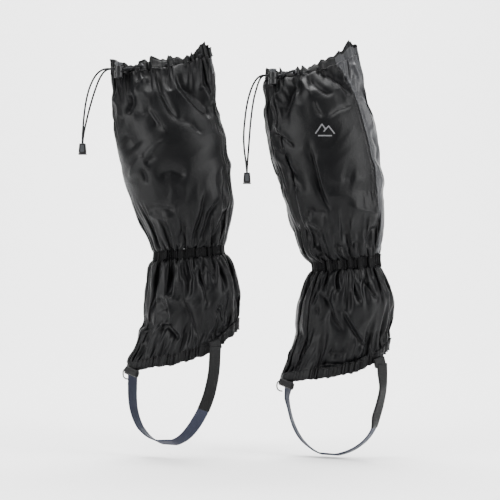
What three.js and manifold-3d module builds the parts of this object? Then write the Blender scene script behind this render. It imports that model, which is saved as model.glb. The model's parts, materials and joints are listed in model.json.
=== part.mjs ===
// A pair of pull-on nylon gaiters, held upright as if worn, toes towards -X.
// Millimetres, +Z up. The wearer's right gaiter is at -X and the left one at +X.
// Each gaiter is a sewn fabric tube with a drawcord cuff, an elastic ankle, an elastic hem,
// a lace hook at the toe and an instep strap that passes under the boot.
import * as THREE from 'three';
import { mergeVertices } from 'three/addons/utils/BufferGeometryUtils.js';
import Module from 'manifold-3d';

const wasm = await Module();
wasm.setup();

// ---- driving dimensions -------------------------------------------------------------------
const CLOTH = 1.2; // fabric wall with its puckers
const SKIN = 0.8; // wall of a sewn casing
const PROUD = 0.5; // how far a casing stands out from the fabric
const GAP = 0.3; // clearance between pieces that touch
const ROW_GAP = 0.8; // clearance between a panel's edge and a casing
const SEAM_HALF_ANGLE = 0.006; // half the seam's clearance, as an angle round the leg
const RING_STEPS = 24; // facets round the leg
const CORD_D = 2.4;
const CORD_SPACING = 2.8;
const CUFF = { station: 0, half: 6.2, depth: 4.2 };
const ANKLE = { station: 5, half: 6.6, depth: 3.2 };
const HEM = { station: 8, half: 7, depth: 3.2 };
const STRAP = { width: 15, thick: 1.8 };
const TAB = { width: 15, height: 12, thick: 3.4, slit: 0.8, wall: 1.3 };
const ROLL = { length: 20, height: 9, thick: 6, bore: 1.5 };
const HOOK_WIRE_R = 0.9;
const LOCK = { r: 5.4, bore: 4.1, below: 11, above: 3.5, floor: 1.4, travel: 2, cap: 2.5 };
const PLUNGER = { r: 3.8, below: 4.3, capR: 4.6 };
const SPRING = { r: 3.2, wire: 0.3, turns: 3.5, length: 4.7 };
const EYELET = { hole: 1.8, barrel: 2.4, flange: 3.8, plate: 0.6 };
const EYELET_FACETS = [3, 4];
const CORD_END = { top: 7.6, bottom: 9.4, depth: 8.2, height: 12, wall: 1.1, lip: 1.8 };

const FABRIC = { color: 0x1b1c1e, roughness: 0.42, metalness: 0 };
const REAR_FABRIC = { color: 0x4c4e52, roughness: 0.6, metalness: 0 };
const ELASTIC = { color: 0x111113, roughness: 0.8, metalness: 0 };
const WEBBING = { color: 0x232428, roughness: 0.7, metalness: 0 };
const STRAP_RUBBER = { color: 0x2f323a, roughness: 0.55, metalness: 0 };
const CORD = { color: 0x202327, roughness: 0.8, metalness: 0 };
const PLASTIC = { color: 0x2a2c2f, roughness: 0.35, metalness: 0 };
const STEEL = { color: 0xb9bcc0, roughness: 0.3, metalness: 1 };

// ---- the two gaiters ----------------------------------------------------------------------
// A station is [front x, front z, back x, back z, half width, front pinch, back pinch].
// The first is the cuff's centre line, the sixth the ankle's and the last one the hem's.
const RIGHT = {
  stations: [
    [-158, 483, -37, 505, 25, 0.5, 0.45],
    [-157, 448, -26, 455, 45, 0.25, 0.2],
    [-151, 384, -14, 384, 57, 0, 0],
    [-132.5, 319, -8, 319, 55, 0, 0],
    [-109, 266, -17, 271, 42, 0, 0],
    [-106, 249, -20, 257, 38, 0, 0],
    [-111, 236, -13, 243, 41, 0, 0],
    [-119, 188, 0, 194, 50, 0.2, 0],
    [-139.5, 109, -1, 165, 46, 0.55, 0],
  ],
  cuffDip: 8,
  hemArch: 92,
  lateral: 1,
  lock: [-148.5, -20.5, 480.5],
  cordEnd: [-193, -21, 382.5],
  roll: [-132.6, -16.6, 106],
  frontTab: [-133, 14, 108],
  rearTab: [-28.7, -41, 141],
  strapHead: [-134, 14],
  strapTail: [-29, -41],
  strapRoute: [
    [-134, 98, 22], [-134.3, 85, 20], [-134.2, 71, 17], [-132.6, 57, 12], [-128.5, 43.5, 6],
    [-121.5, 31.5, 2], [-112.5, 21.5, 0], [-98, 14.2, 0], [-80, 14.2, 0], [-67, 20.5, 0],
    [-57, 30, -3], [-48.5, 43, -9], [-41, 58.5, -15], [-35.5, 75, -21], [-32, 92, -27],
    [-29.8, 110, -32], [-29, 130, -35],
  ],
  cords: [
    [
      [-120.5, 483.2, -16.6], [-121.1, 484.3, -19.1], [-123.4, 484.5, -21.3], [-128, 483, -21.9],
      [-134.5, 481.2, -21.9], [-141.5, 480.5, -21.9], [-147, 480.5, -21.9], [-153, 480.5, -21.9],
      [-159, 480.5, -21.9], [-164, 480.4, -21.9], [-169, 478.9, -22], [-173.6, 475.6, -22.2],
      [-177.8, 470.5, -22.4], [-181.5, 463.5, -22.6],
      [-184.5, 456, -22.8], [-187, 447, -23], [-189, 437, -23], [-190.5, 426, -23],
      [-191.7, 414, -22.9], [-192.6, 402, -22.6], [-193, 392, -22.4], [-193, 384, -22.4],
      [-193, 380.2, -22.4],
    ],
    [
      [-134, 482.4, -13], [-134.8, 483.2, -15.8], [-136.8, 482.6, -18.2], [-139.4, 481.2, -19.1],
      [-142.4, 480.5, -19.1], [-147, 480.5, -19.1], [-153, 480.5, -19.1], [-159, 480.5, -19.1],
      [-163, 479.6, -19.1], [-166.8, 476.8, -19], [-170.4, 472, -18.8], [-173.7, 465.5, -18.6],
      [-177, 457, -18.4], [-180, 448, -18.2], [-183, 438, -18.2], [-186, 427, -18.4],
      [-188.8, 415, -18.8], [-191.3, 403, -19.3], [-192.8, 392, -19.6], [-193, 384, -19.6],
      [-193, 380.2, -19.6],
    ],
  ],
};

const LEFT = {
  stations: [
    [33, 474, 147, 506, 25, 0.5, 0.45],
    [30, 446, 158, 458, 45, 0.25, 0.2],
    [36, 388, 172.5, 397, 57, 0, 0],
    [55, 322, 182.5, 324, 55, 0, 0],
    [77, 254, 179, 262, 42, 0, 0],
    [92.5, 235.6, 175.5, 244, 38, 0, 0],
    [86, 222, 180, 230, 41, 0, 0],
    [71, 175, 193, 177, 50, 0.2, 0],
    [52, 96, 187, 140, 46, 0.55, 0],
  ],
  cuffDip: 9,
  hemArch: 74,
  lateral: -1,
  lock: [42, -20.5, 472.5],
  cordEnd: [10, -21, 346.5],
  roll: [58.8, -16.6, 91],
  frontTab: [62, 16.6, 93],
  rearTab: [172.5, -34.5, 119.5],
  strapHead: [62, 16.6],
  strapTail: [176, -33],
  strapRoute: [
    [62, 82.5, 16], [61.9, 70, 13], [63.2, 56, 9], [66.3, 42.5, 6], [71.2, 29.5, 3],
    [78.4, 17.5, 1], [88.5, 7.6, 0], [102, 0.9, 0], [121, 0.9, 0], [136.5, 6.4, 0],
    [149, 14.8, 0], [158.5, 25, -3], [165.5, 38, -8], [170, 53, -14], [173, 69, -21],
    [175, 87, -29], [176, 108, -34],
  ],
  cords: [
    [
      [68.3, 476.5, -16.6], [67.6, 477.9, -18.9], [65.4, 478, -21.1], [61, 476, -21.9],
      [55.3, 473.6, -21.9], [49, 472.5, -21.9], [43.5, 472.5, -21.9], [37.5, 472.5, -21.9],
      [31.5, 472.5, -21.9], [27, 471.8, -21.9], [23, 469, -22], [19.6, 464.5, -22.2],
      [16.5, 458.5, -22.4], [13.6, 450.5, -22.6],
      [11, 441, -22.8], [9, 430, -23], [7.5, 418, -23], [6.3, 405, -23],
      [6, 392, -23], [6.8, 380, -22.8], [8.3, 368, -22.6], [9.6, 357, -22.4],
      [10, 349, -22.4], [10, 344.2, -22.4],
    ],
    [
      [55.6, 474.7, -13], [54.9, 475.8, -15.6], [53, 475, -18.2], [50.6, 473.3, -19.1],
      [47.8, 472.5, -19.1], [43.5, 472.5, -19.1], [37.5, 472.5, -19.1], [31.5, 472.5, -19.1],
      [28.2, 471, -19.1], [25.7, 467.3, -19], [23.4, 461.7, -18.8], [21.3, 454.6, -18.6],
      [19, 446, -18.4], [17, 435, -18.2], [15.3, 422, -18.2], [14, 409, -18.4],
      [13, 396, -18.6], [12, 383, -18.8], [11, 370, -19.2], [10.2, 358, -19.6],
      [10, 349, -19.6], [10, 344.2, -19.6],
    ],
  ],
};

// Angles round the leg: 0 at the shin, 90 at the side facing -Y, 180 at the calf.
// The shin seam and the rear seams lie on the lateral side of each leg.
const SEAMS = { shin: 38, shinHem: 44, rearTop: 134, rearAnkle: 152, medial: 190 };

const root = new THREE.Group();

// ---- helpers ------------------------------------------------------------------------------
function addMesh(name, geometry, look) {
  const mesh = new THREE.Mesh(geometry, new THREE.MeshStandardMaterial(look));
  mesh.name = name;
  root.add(mesh);
  return mesh;
}

function radians(degrees) {
  return THREE.MathUtils.degToRad(degrees);
}

function fanCap(count) {
  return Array.from({ length: count - 2 }, (_, i) => [0, i + 1, i + 2]);
}

// The end cap of a thin wall whose section runs down its outside and back up its inside.
function stripCap(rows) {
  const last = 2 * rows - 1;
  const faces = [];
  for (let i = 0; i < rows - 1; i += 1) {
    faces.push([i, i + 1, last - i - 1], [i, last - i - 1, last - i]);
  }
  return faces;
}

function signedVolume(points, faces) {
  return faces.reduce((sum, [a, b, c]) => {
    const normal = points[b].clone().cross(points[c]);
    return sum + points[a].dot(normal) / 6;
  }, 0);
}

// A closed solid through equal polygons, with its two ends capped or joined to each other.
function sweep(sections, { closed = false, cap = [] } = {}) {
  const side = sections[0].length;
  const points = sections.flat();
  const faces = [];
  const spans = closed ? sections.length : sections.length - 1;
  for (let i = 0; i < spans; i += 1) {
    const here = i * side;
    const next = ((i + 1) % sections.length) * side;
    for (let j = 0; j < side; j += 1) {
      const k = (j + 1) % side;
      faces.push([here + j, here + k, next + k], [here + j, next + k, next + j]);
    }
  }
  if (!closed) {
    const end = (sections.length - 1) * side;
    cap.forEach(([a, b, c]) => faces.push([a, c, b], [end + a, end + b, end + c]));
  }
  if (signedVolume(points, faces) < 0) {
    faces.forEach((face) => face.reverse());
  }
  const geometry = new THREE.BufferGeometry().setFromPoints(points);
  geometry.setIndex(faces.flat());
  geometry.computeVertexNormals();
  return geometry;
}

function toManifold(geometry) {
  const bare = geometry.clone();
  bare.deleteAttribute('normal');
  bare.deleteAttribute('uv');
  const merged = mergeVertices(bare, 1e-4);
  const vertProperties = new Float32Array(merged.attributes.position.array);
  const triVerts = new Uint32Array(merged.index.array);
  return new wasm.Manifold(new wasm.Mesh({ numProp: 3, vertProperties, triVerts }));
}

function fromManifold(solid) {
  const mesh = solid.getMesh();
  const geometry = new THREE.BufferGeometry();
  geometry.setAttribute('position', new THREE.BufferAttribute(mesh.vertProperties, 3));
  geometry.setIndex(new THREE.BufferAttribute(mesh.triVerts, 1));
  return geometry;
}

function cut(geometry, tools) {
  const solid = tools.reduce((left, tool) => left.subtract(toManifold(tool)), toManifold(geometry));
  return fromManifold(solid);
}

function join(geometries) {
  const [first, ...others] = geometries.map(toManifold);
  return fromManifold(others.reduce((sum, next) => sum.add(next), first));
}

function uprightCylinder(radius, bottom, top, sides) {
  const geometry = new THREE.CylinderGeometry(radius, radius, top - bottom, sides);
  geometry.rotateX(Math.PI / 2);
  geometry.translate(0, 0, (top + bottom) / 2);
  return geometry;
}

function box(width, depth, height, centre) {
  const geometry = new THREE.BoxGeometry(width, depth, height);
  geometry.translate(...centre);
  return geometry;
}

function roundSection(radius, sides) {
  const corners = Array.from({ length: sides }, (_, i) => {
    const angle = (2 * Math.PI * i) / sides;
    return new THREE.Vector2(radius * Math.cos(angle), radius * Math.sin(angle));
  });
  return new THREE.Shape(corners);
}

function tube(curve, radius, steps, sides) {
  const section = roundSection(radius, sides);
  return new THREE.ExtrudeGeometry(section, { steps, extrudePath: curve, bevelEnabled: false });
}

// ---- the leg's surface --------------------------------------------------------------------
function legSurface(spec) {
  const last = spec.stations.length - 1;
  const curve = (x, z) => new THREE.CatmullRomCurve3(
    spec.stations.map((row) => new THREE.Vector3(row[x], 0, row[z])),
  );
  const front = curve(0, 1);
  const back = curve(2, 3);
  const width = curve(4, 5);
  const rear = curve(4, 6);
  return (station, angle) => {
    const t = THREE.MathUtils.clamp(station / last, 0, 1);
    const shin = front.getPoint(t);
    const calf = back.getPoint(t);
    const share = (1 - Math.cos(angle)) / 2;
    const point = shin.lerp(calf, share);
    const pinch = width.getPoint(t).z * (1 - share) ** 2 + rear.getPoint(t).z * share ** 2;
    point.y = -width.getPoint(t).x * Math.sin(angle) * (1 - pinch);
    point.z -= spec.cuffDip * Math.sin(angle) ** 2 * Math.max(0, 1 - station);
    const low = Math.max(0, station - (HEM.station - 1));
    point.z -= spec.hemArch * share ** 2 * (1 - share) * low ** 2;
    return point;
  };
}

// The surface point with its directions outwards and down the leg.
function frameAt(surface, station, angle) {
  const step = 0.01;
  const s = THREE.MathUtils.clamp(station, step, HEM.station - step);
  const down = surface(s + step, angle).sub(surface(s - step, angle)).normalize();
  const around = surface(s, angle + step).sub(surface(s, angle - step)).normalize();
  const out = down.clone().cross(around).normalize();
  return { point: surface(station, angle), out, down };
}

function offset(frame, outwards, downwards) {
  return frame.point.clone().addScaledVector(frame.out, outwards).addScaledVector(frame.down, downwards);
}

// A ring round the leg whose section is given as [outwards, downwards] corners.
function ring(surface, station, corners) {
  const sections = [];
  for (let i = 0; i < RING_STEPS; i += 1) {
    const frame = frameAt(surface, station, (2 * Math.PI * i) / RING_STEPS);
    sections.push(corners.map(([outwards, downwards]) => offset(frame, outwards, downwards)));
  }
  return sweep(sections, { closed: true });
}

// A casing is a channel that is open towards the leg.
function casing(surface, band) {
  const { station, half, depth } = band;
  const inside = PROUD - SKIN;
  const lip = half - SKIN;
  return ring(surface, station, [
    [PROUD, -half], [PROUD, half], [-depth, half], [-depth, lip],
    [inside, lip], [inside, -lip], [-depth, -lip], [-depth, -half],
  ]);
}

function elastic(surface, band) {
  const outer = PROUD - SKIN - GAP;
  const inner = 0.8 - band.depth;
  const half = band.half - SKIN - GAP;
  return ring(surface, band.station, [[outer, -half], [outer, half], [inner, half], [inner, -half]]);
}

// A panel between two casings, from one seam to the next.
// A seam is [its angle at the first row, its angle at the last row], in degrees.
function panel(surface, upperBand, lowerBand, rows, seams, steps) {
  const first = upperBand.station;
  const span = lowerBand.station - first;
  const sections = [];
  for (let i = 0; i <= steps; i += 1) {
    const at = (station) => {
      const t = (station - first) / span;
      const from = radians(THREE.MathUtils.lerp(seams[0][0], seams[0][1], t)) + SEAM_HALF_ANGLE;
      const to = radians(THREE.MathUtils.lerp(seams[1][0], seams[1][1], t)) - SEAM_HALF_ANGLE;
      return frameAt(surface, station, THREE.MathUtils.lerp(from, to, i / steps));
    };
    const edge = (band, side) => {
      const frame = at(band.station);
      return { ...frame, point: offset(frame, 0, side * (band.half + ROW_GAP)) };
    };
    const frames = [edge(upperBand, 1), ...rows.map(at), edge(lowerBand, -1)];
    const outside = frames.map((frame) => frame.point);
    const inside = frames.map((frame) => offset(frame, -CLOTH, 0)).reverse();
    sections.push([...outside, ...inside]);
  }
  return sweep(sections, { cap: stripCap(rows.length + 2) });
}

// Seams are stated for a gaiter whose lateral side faces -Y. The other one is its mirror image.
function mirrorSeams(seams, lateral) {
  return lateral < 0 ? seams : [seams[1].map((a) => 360 - a), seams[0].map((a) => 360 - a)];
}

function addPanels(prefix, spec, surface) {
  const upper = [0.5, 1.2, 2, 2.7, 3.4, 4];
  const lower = [6, 6.6, 7.3];
  const { shin, shinHem, rearTop, rearAnkle, medial } = SEAMS;
  const add = (name, seams, steps, isUpper, look) => {
    const bands = isUpper ? [CUFF, ANKLE] : [ANKLE, HEM];
    const rows = isUpper ? upper : lower;
    const turned = mirrorSeams(seams, spec.lateral);
    addMesh(`${prefix}_${name}`, panel(surface, ...bands, rows, turned, steps), look);
  };
  add('upper_lateral_panel', [[shin, shin], [rearTop, rearAnkle]], 8, true, FABRIC);
  add('upper_rear_panel', [[rearTop, rearAnkle], [medial, medial]], 4, true, REAR_FABRIC);
  add('upper_medial_panel', [[medial, medial], [360 + shin, 360 + shin]], 15, true, FABRIC);
  add('lower_lateral_panel', [[shin, shinHem], [medial, medial]], 10, false, FABRIC);
  add('lower_medial_panel', [[medial, medial], [360 + shin, 360 + shinHem]], 14, false, FABRIC);
}

// ---- cuff ---------------------------------------------------------------------------------
// An eyelet sits in the middle of a flat facet of the cuff.
function eyeletFrame(surface, facet) {
  const [a, b] = [facet, facet + 1].map((i) => frameAt(surface, CUFF.station, (2 * Math.PI * i) / RING_STEPS));
  const point = a.point.clone().lerp(b.point, 0.5);
  const out = a.out.clone().add(b.out).normalize();
  return { point, out };
}

function alongOut(geometry, frame) {
  const turn = new THREE.Quaternion().setFromUnitVectors(new THREE.Vector3(0, 0, 1), frame.out);
  geometry.applyQuaternion(turn);
  geometry.translate(...frame.point);
  return geometry;
}

function eyelet() {
  const back = PROUD - SKIN - GAP;
  const face = PROUD + GAP;
  const profile = [
    [EYELET.hole, back], [EYELET.barrel, back], [EYELET.barrel, face],
    [EYELET.flange, face], [EYELET.flange, face + EYELET.plate], [EYELET.hole, face + EYELET.plate],
    [EYELET.hole, back],
  ];
  const geometry = new THREE.LatheGeometry(profile.map(([r, h]) => new THREE.Vector2(r, h)), 12);
  return geometry.rotateX(Math.PI / 2);
}

function addCuff(prefix, surface) {
  const frames = EYELET_FACETS.map((facet) => eyeletFrame(surface, facet));
  const holes = frames.map((frame) => {
    const drill = uprightCylinder(EYELET.barrel + GAP, -SKIN - GAP, PROUD + GAP, 12);
    return alongOut(drill, frame);
  });
  addMesh(`${prefix}_cuff_tunnel`, cut(casing(surface, CUFF), holes), FABRIC);
  frames.forEach((frame, i) => {
    addMesh(`${prefix}_eyelet_${['front', 'rear'][i]}`, alongOut(eyelet(), frame), STEEL);
  });
  const points = [];
  for (let angle = 80; angle <= 400; angle += 16) {
    points.push(offset(frameAt(surface, CUFF.station, radians(angle)), -2.4, 0));
  }
  addMesh(`${prefix}_drawcord_loop`, tube(new THREE.CatmullRomCurve3(points), CORD_D / 2, 28, 8), CORD);
}

// ---- cord lock ----------------------------------------------------------------------------
// A sprung barrel lock. Its own origin is where the cords cross its axis.
function addCordLock(prefix, spec) {
  const slotHeight = CORD_D + 2 * GAP;
  const slotWidth = CORD_SPACING + slotHeight;
  const through = 4 * LOCK.r;
  const floor = LOCK.floor - LOCK.below;
  const barrel = cut(uprightCylinder(LOCK.r, -LOCK.below, LOCK.above, 16), [
    uprightCylinder(LOCK.bore, floor, LOCK.above + 1, 16),
    box(through, slotWidth, slotHeight, [0, 0, 0]),
  ]);
  const capBottom = LOCK.above + LOCK.travel + GAP;
  const plunger = cut(
    join([
      uprightCylinder(PLUNGER.r, -PLUNGER.below, capBottom + 0.5, 12),
      uprightCylinder(PLUNGER.capR, capBottom, capBottom + LOCK.cap, 12),
    ]),
    [box(through, slotWidth, slotHeight + LOCK.travel, [0, 0, LOCK.travel / 2])],
  );
  const coil = [];
  const coilSteps = SPRING.turns * 8;
  for (let i = 0; i <= coilSteps; i += 1) {
    const angle = (2 * Math.PI * SPRING.turns * i) / coilSteps;
    const height = floor + GAP + SPRING.wire + ((SPRING.length - GAP - SPRING.wire) * i) / coilSteps;
    coil.push(new THREE.Vector3(SPRING.r * Math.cos(angle), SPRING.r * Math.sin(angle), height));
  }
  const spring = tube(new THREE.CatmullRomCurve3(coil), SPRING.wire, coilSteps, 5);
  addMesh(`${prefix}_cord_lock_barrel`, barrel, PLASTIC).position.set(...spec.lock);
  addMesh(`${prefix}_cord_lock_plunger`, plunger, PLASTIC).position.set(...spec.lock);
  addMesh(`${prefix}_cord_lock_spring`, spring, STEEL).position.set(...spec.lock);
}

// ---- free ends of the drawcord ------------------------------------------------------------
function addCordTails(prefix, spec) {
  spec.cords.forEach((route, i) => {
    const points = route.map(([x, z, y]) => new THREE.Vector3(x, y, z));
    const name = `${prefix}_cord_tail_${['outer', 'inner'][i]}`;
    addMesh(name, tube(new THREE.CatmullRomCurve3(points), CORD_D / 2, 32, 8), CORD);
  });
}

// The cord end is a tapered shell with a snap-in plug that holds the knotted tails.
function addCordEnd(prefix, spec) {
  const { top, bottom, depth, height, wall, lip } = CORD_END;
  const outline = new THREE.Shape([
    new THREE.Vector2(-bottom / 2, 0), new THREE.Vector2(bottom / 2, 0),
    new THREE.Vector2(top / 2, height), new THREE.Vector2(-top / 2, height),
  ]);
  const block = new THREE.ExtrudeGeometry(outline, { depth, bevelEnabled: false });
  block.translate(0, 0, -depth / 2);
  block.rotateX(Math.PI / 2);
  const pocketHeight = height - 2 * wall;
  const pocketWidth = top - 2 * wall;
  const slot = CORD_D + 2 * GAP;
  const shell = cut(block, [
    box(pocketWidth, depth - 2 * wall, pocketHeight + 1, [0, 0, pocketHeight / 2 - 0.5]),
    box(slot, CORD_SPACING + slot, height, [0, 0, height]),
  ]);
  const plugHeight = 4;
  const plug = join([
    box(bottom + 0.8, depth + 0.6, lip, [0, 0, -GAP - lip / 2]),
    box(pocketWidth - 2 * GAP, depth - 2 * wall - 2 * GAP, plugHeight, [0, 0, plugHeight / 2 - GAP - 0.5]),
  ]);
  const base = [spec.cordEnd[0], spec.cordEnd[1], spec.cordEnd[2] - height / 2];
  addMesh(`${prefix}_cord_end_shell`, shell, PLASTIC).position.set(...base);
  addMesh(`${prefix}_cord_end_plug`, plug, PLASTIC).position.set(...base);
}

// ---- toe, strap tabs and strap ------------------------------------------------------------
// A rounded bar section, tall along its second axis.
function barShape(thick, height) {
  const r = thick / 2;
  const straight = height / 2 - r;
  const shape = new THREE.Shape();
  shape.absarc(0, straight, r, 0, Math.PI, false);
  shape.absarc(0, -straight, r, Math.PI, 2 * Math.PI, false);
  return shape;
}

// Places a piece built along its own X, with a turn about Z and then a tilt about its cross axis.
function place(mesh, centre, yaw, tilt) {
  mesh.rotation.set(0, radians(tilt), radians(yaw), 'ZYX');
  mesh.position.set(...centre);
}

function extrudeAlongX(shape, length) {
  const geometry = new THREE.ExtrudeGeometry(shape, { depth: length, bevelEnabled: false, curveSegments: 5 });
  geometry.translate(0, 0, -length / 2);
  geometry.rotateX(Math.PI / 2);
  geometry.rotateZ(Math.PI / 2);
  return geometry;
}

function addToe(prefix, spec) {
  const shape = barShape(ROLL.thick, ROLL.height);
  const bore = new THREE.Path();
  bore.absarc(0, 0, ROLL.bore, 0, 2 * Math.PI, true);
  shape.holes.push(bore);
  const roll = addMesh(`${prefix}_toe_loop`, extrudeAlongX(shape, ROLL.length), WEBBING);
  const half = ROLL.length / 2;
  const wire = [
    [half - 1, 0], [half - 7, 0], [0, 0], [7 - half, 0], [-half, 0],
    [-half - 2.4, -0.6], [-half - 3.6, -3], [-half - 3.4, -7], [-half - 1.4, -10.2],
    [2 - half, -11.2], [6 - half, -10.6],
  ].map(([x, z]) => new THREE.Vector3(x, 0, z));
  const hookShape = tube(new THREE.CatmullRomCurve3(wire), HOOK_WIRE_R, 22, 6);
  const hook = addMesh(`${prefix}_lace_hook`, hookShape, STEEL);
  [roll, hook].forEach((mesh) => place(mesh, spec.roll, -38, 15));
}

function addTab(name, centre, yaw, tilt) {
  const shape = barShape(TAB.thick, TAB.height);
  const slit = barShape(TAB.slit, TAB.height - 2 * TAB.wall);
  shape.holes.push(new THREE.Path(slit.getPoints(4).reverse()));
  place(addMesh(name, extrudeAlongX(shape, TAB.width), WEBBING), centre, yaw, tilt);
}

// The strap hangs in the upright plane through its two ends, and its rows are [x, z, twist].
function strapGeometry(spec) {
  const [head, tail] = [spec.strapHead, spec.strapTail];
  const points = spec.strapRoute.map(([x, z]) => {
    const share = (x - head[0]) / (tail[0] - head[0]);
    return new THREE.Vector3(x, THREE.MathUtils.lerp(head[1], tail[1], share), z);
  });
  const path = new THREE.CatmullRomCurve3(points);
  const flat = new THREE.Vector3(head[1] - tail[1], tail[0] - head[0], 0).normalize();
  const count = spec.strapRoute.length - 1;
  const sections = [];
  for (let i = 0; i <= count; i += 1) {
    const t = i / count;
    const centre = path.getPoint(t);
    const tangent = path.getTangent(t);
    const side = flat.clone().applyAxisAngle(tangent, radians(spec.strapRoute[i][2]));
    const face = tangent.clone().cross(side);
    const corner = (u, v) => centre.clone()
      .addScaledVector(side, (u * STRAP.width) / 2)
      .addScaledVector(face, (v * STRAP.thick) / 2);
    sections.push([corner(1, 1), corner(-1, 1), corner(-1, -1), corner(1, -1)]);
  }
  return sweep(sections, { cap: fanCap(4) });
}

function addGaiter(prefix, spec) {
  const surface = legSurface(spec);
  addPanels(prefix, spec, surface);
  addCuff(prefix, surface);
  addCordLock(prefix, spec);
  addCordTails(prefix, spec);
  addCordEnd(prefix, spec);
  addMesh(`${prefix}_ankle_casing`, casing(surface, ANKLE), FABRIC);
  addMesh(`${prefix}_ankle_elastic`, elastic(surface, ANKLE), ELASTIC);
  addMesh(`${prefix}_hem_casing`, casing(surface, HEM), FABRIC);
  addMesh(`${prefix}_hem_elastic`, elastic(surface, HEM), ELASTIC);
  addToe(prefix, spec);
  addTab(`${prefix}_strap_tab_front`, spec.frontTab, 42, 0);
  addTab(`${prefix}_strap_tab_rear`, spec.rearTab, 27, -15);
  addMesh(`${prefix}_instep_strap`, strapGeometry(spec), STRAP_RUBBER);
}

addGaiter('right', RIGHT);
addGaiter('left', LEFT);

export default root;
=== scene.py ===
"""Visual model of a pair of pull-on nylon gaiters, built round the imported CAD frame. Metres, +Z up."""

import json
import math

import bmesh
import bpy
import numpy as np
from mathutils import Matrix, Vector
from mathutils.bvhtree import BVHTree

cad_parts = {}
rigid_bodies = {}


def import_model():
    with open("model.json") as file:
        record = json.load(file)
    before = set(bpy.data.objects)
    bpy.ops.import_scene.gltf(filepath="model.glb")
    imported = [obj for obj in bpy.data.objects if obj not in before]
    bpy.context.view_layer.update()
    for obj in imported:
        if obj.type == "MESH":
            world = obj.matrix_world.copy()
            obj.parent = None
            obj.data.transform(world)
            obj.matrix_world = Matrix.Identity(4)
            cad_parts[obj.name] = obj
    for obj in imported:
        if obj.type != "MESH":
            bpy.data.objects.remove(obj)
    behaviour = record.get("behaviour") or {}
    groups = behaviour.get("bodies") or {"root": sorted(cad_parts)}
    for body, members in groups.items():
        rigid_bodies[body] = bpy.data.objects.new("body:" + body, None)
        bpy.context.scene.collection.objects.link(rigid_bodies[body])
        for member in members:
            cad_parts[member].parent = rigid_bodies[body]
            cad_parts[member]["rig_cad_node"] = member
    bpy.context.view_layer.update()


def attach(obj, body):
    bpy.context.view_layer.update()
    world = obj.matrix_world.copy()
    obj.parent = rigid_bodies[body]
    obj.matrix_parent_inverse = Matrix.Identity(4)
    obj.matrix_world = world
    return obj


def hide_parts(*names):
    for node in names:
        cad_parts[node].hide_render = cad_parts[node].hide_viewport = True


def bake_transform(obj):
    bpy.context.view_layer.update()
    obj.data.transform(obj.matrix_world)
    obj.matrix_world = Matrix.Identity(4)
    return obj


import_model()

MM = 0.001
UP = np.array([0.0, 0.0, 1.0])
UP_AXIS = Vector(UP)

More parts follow.
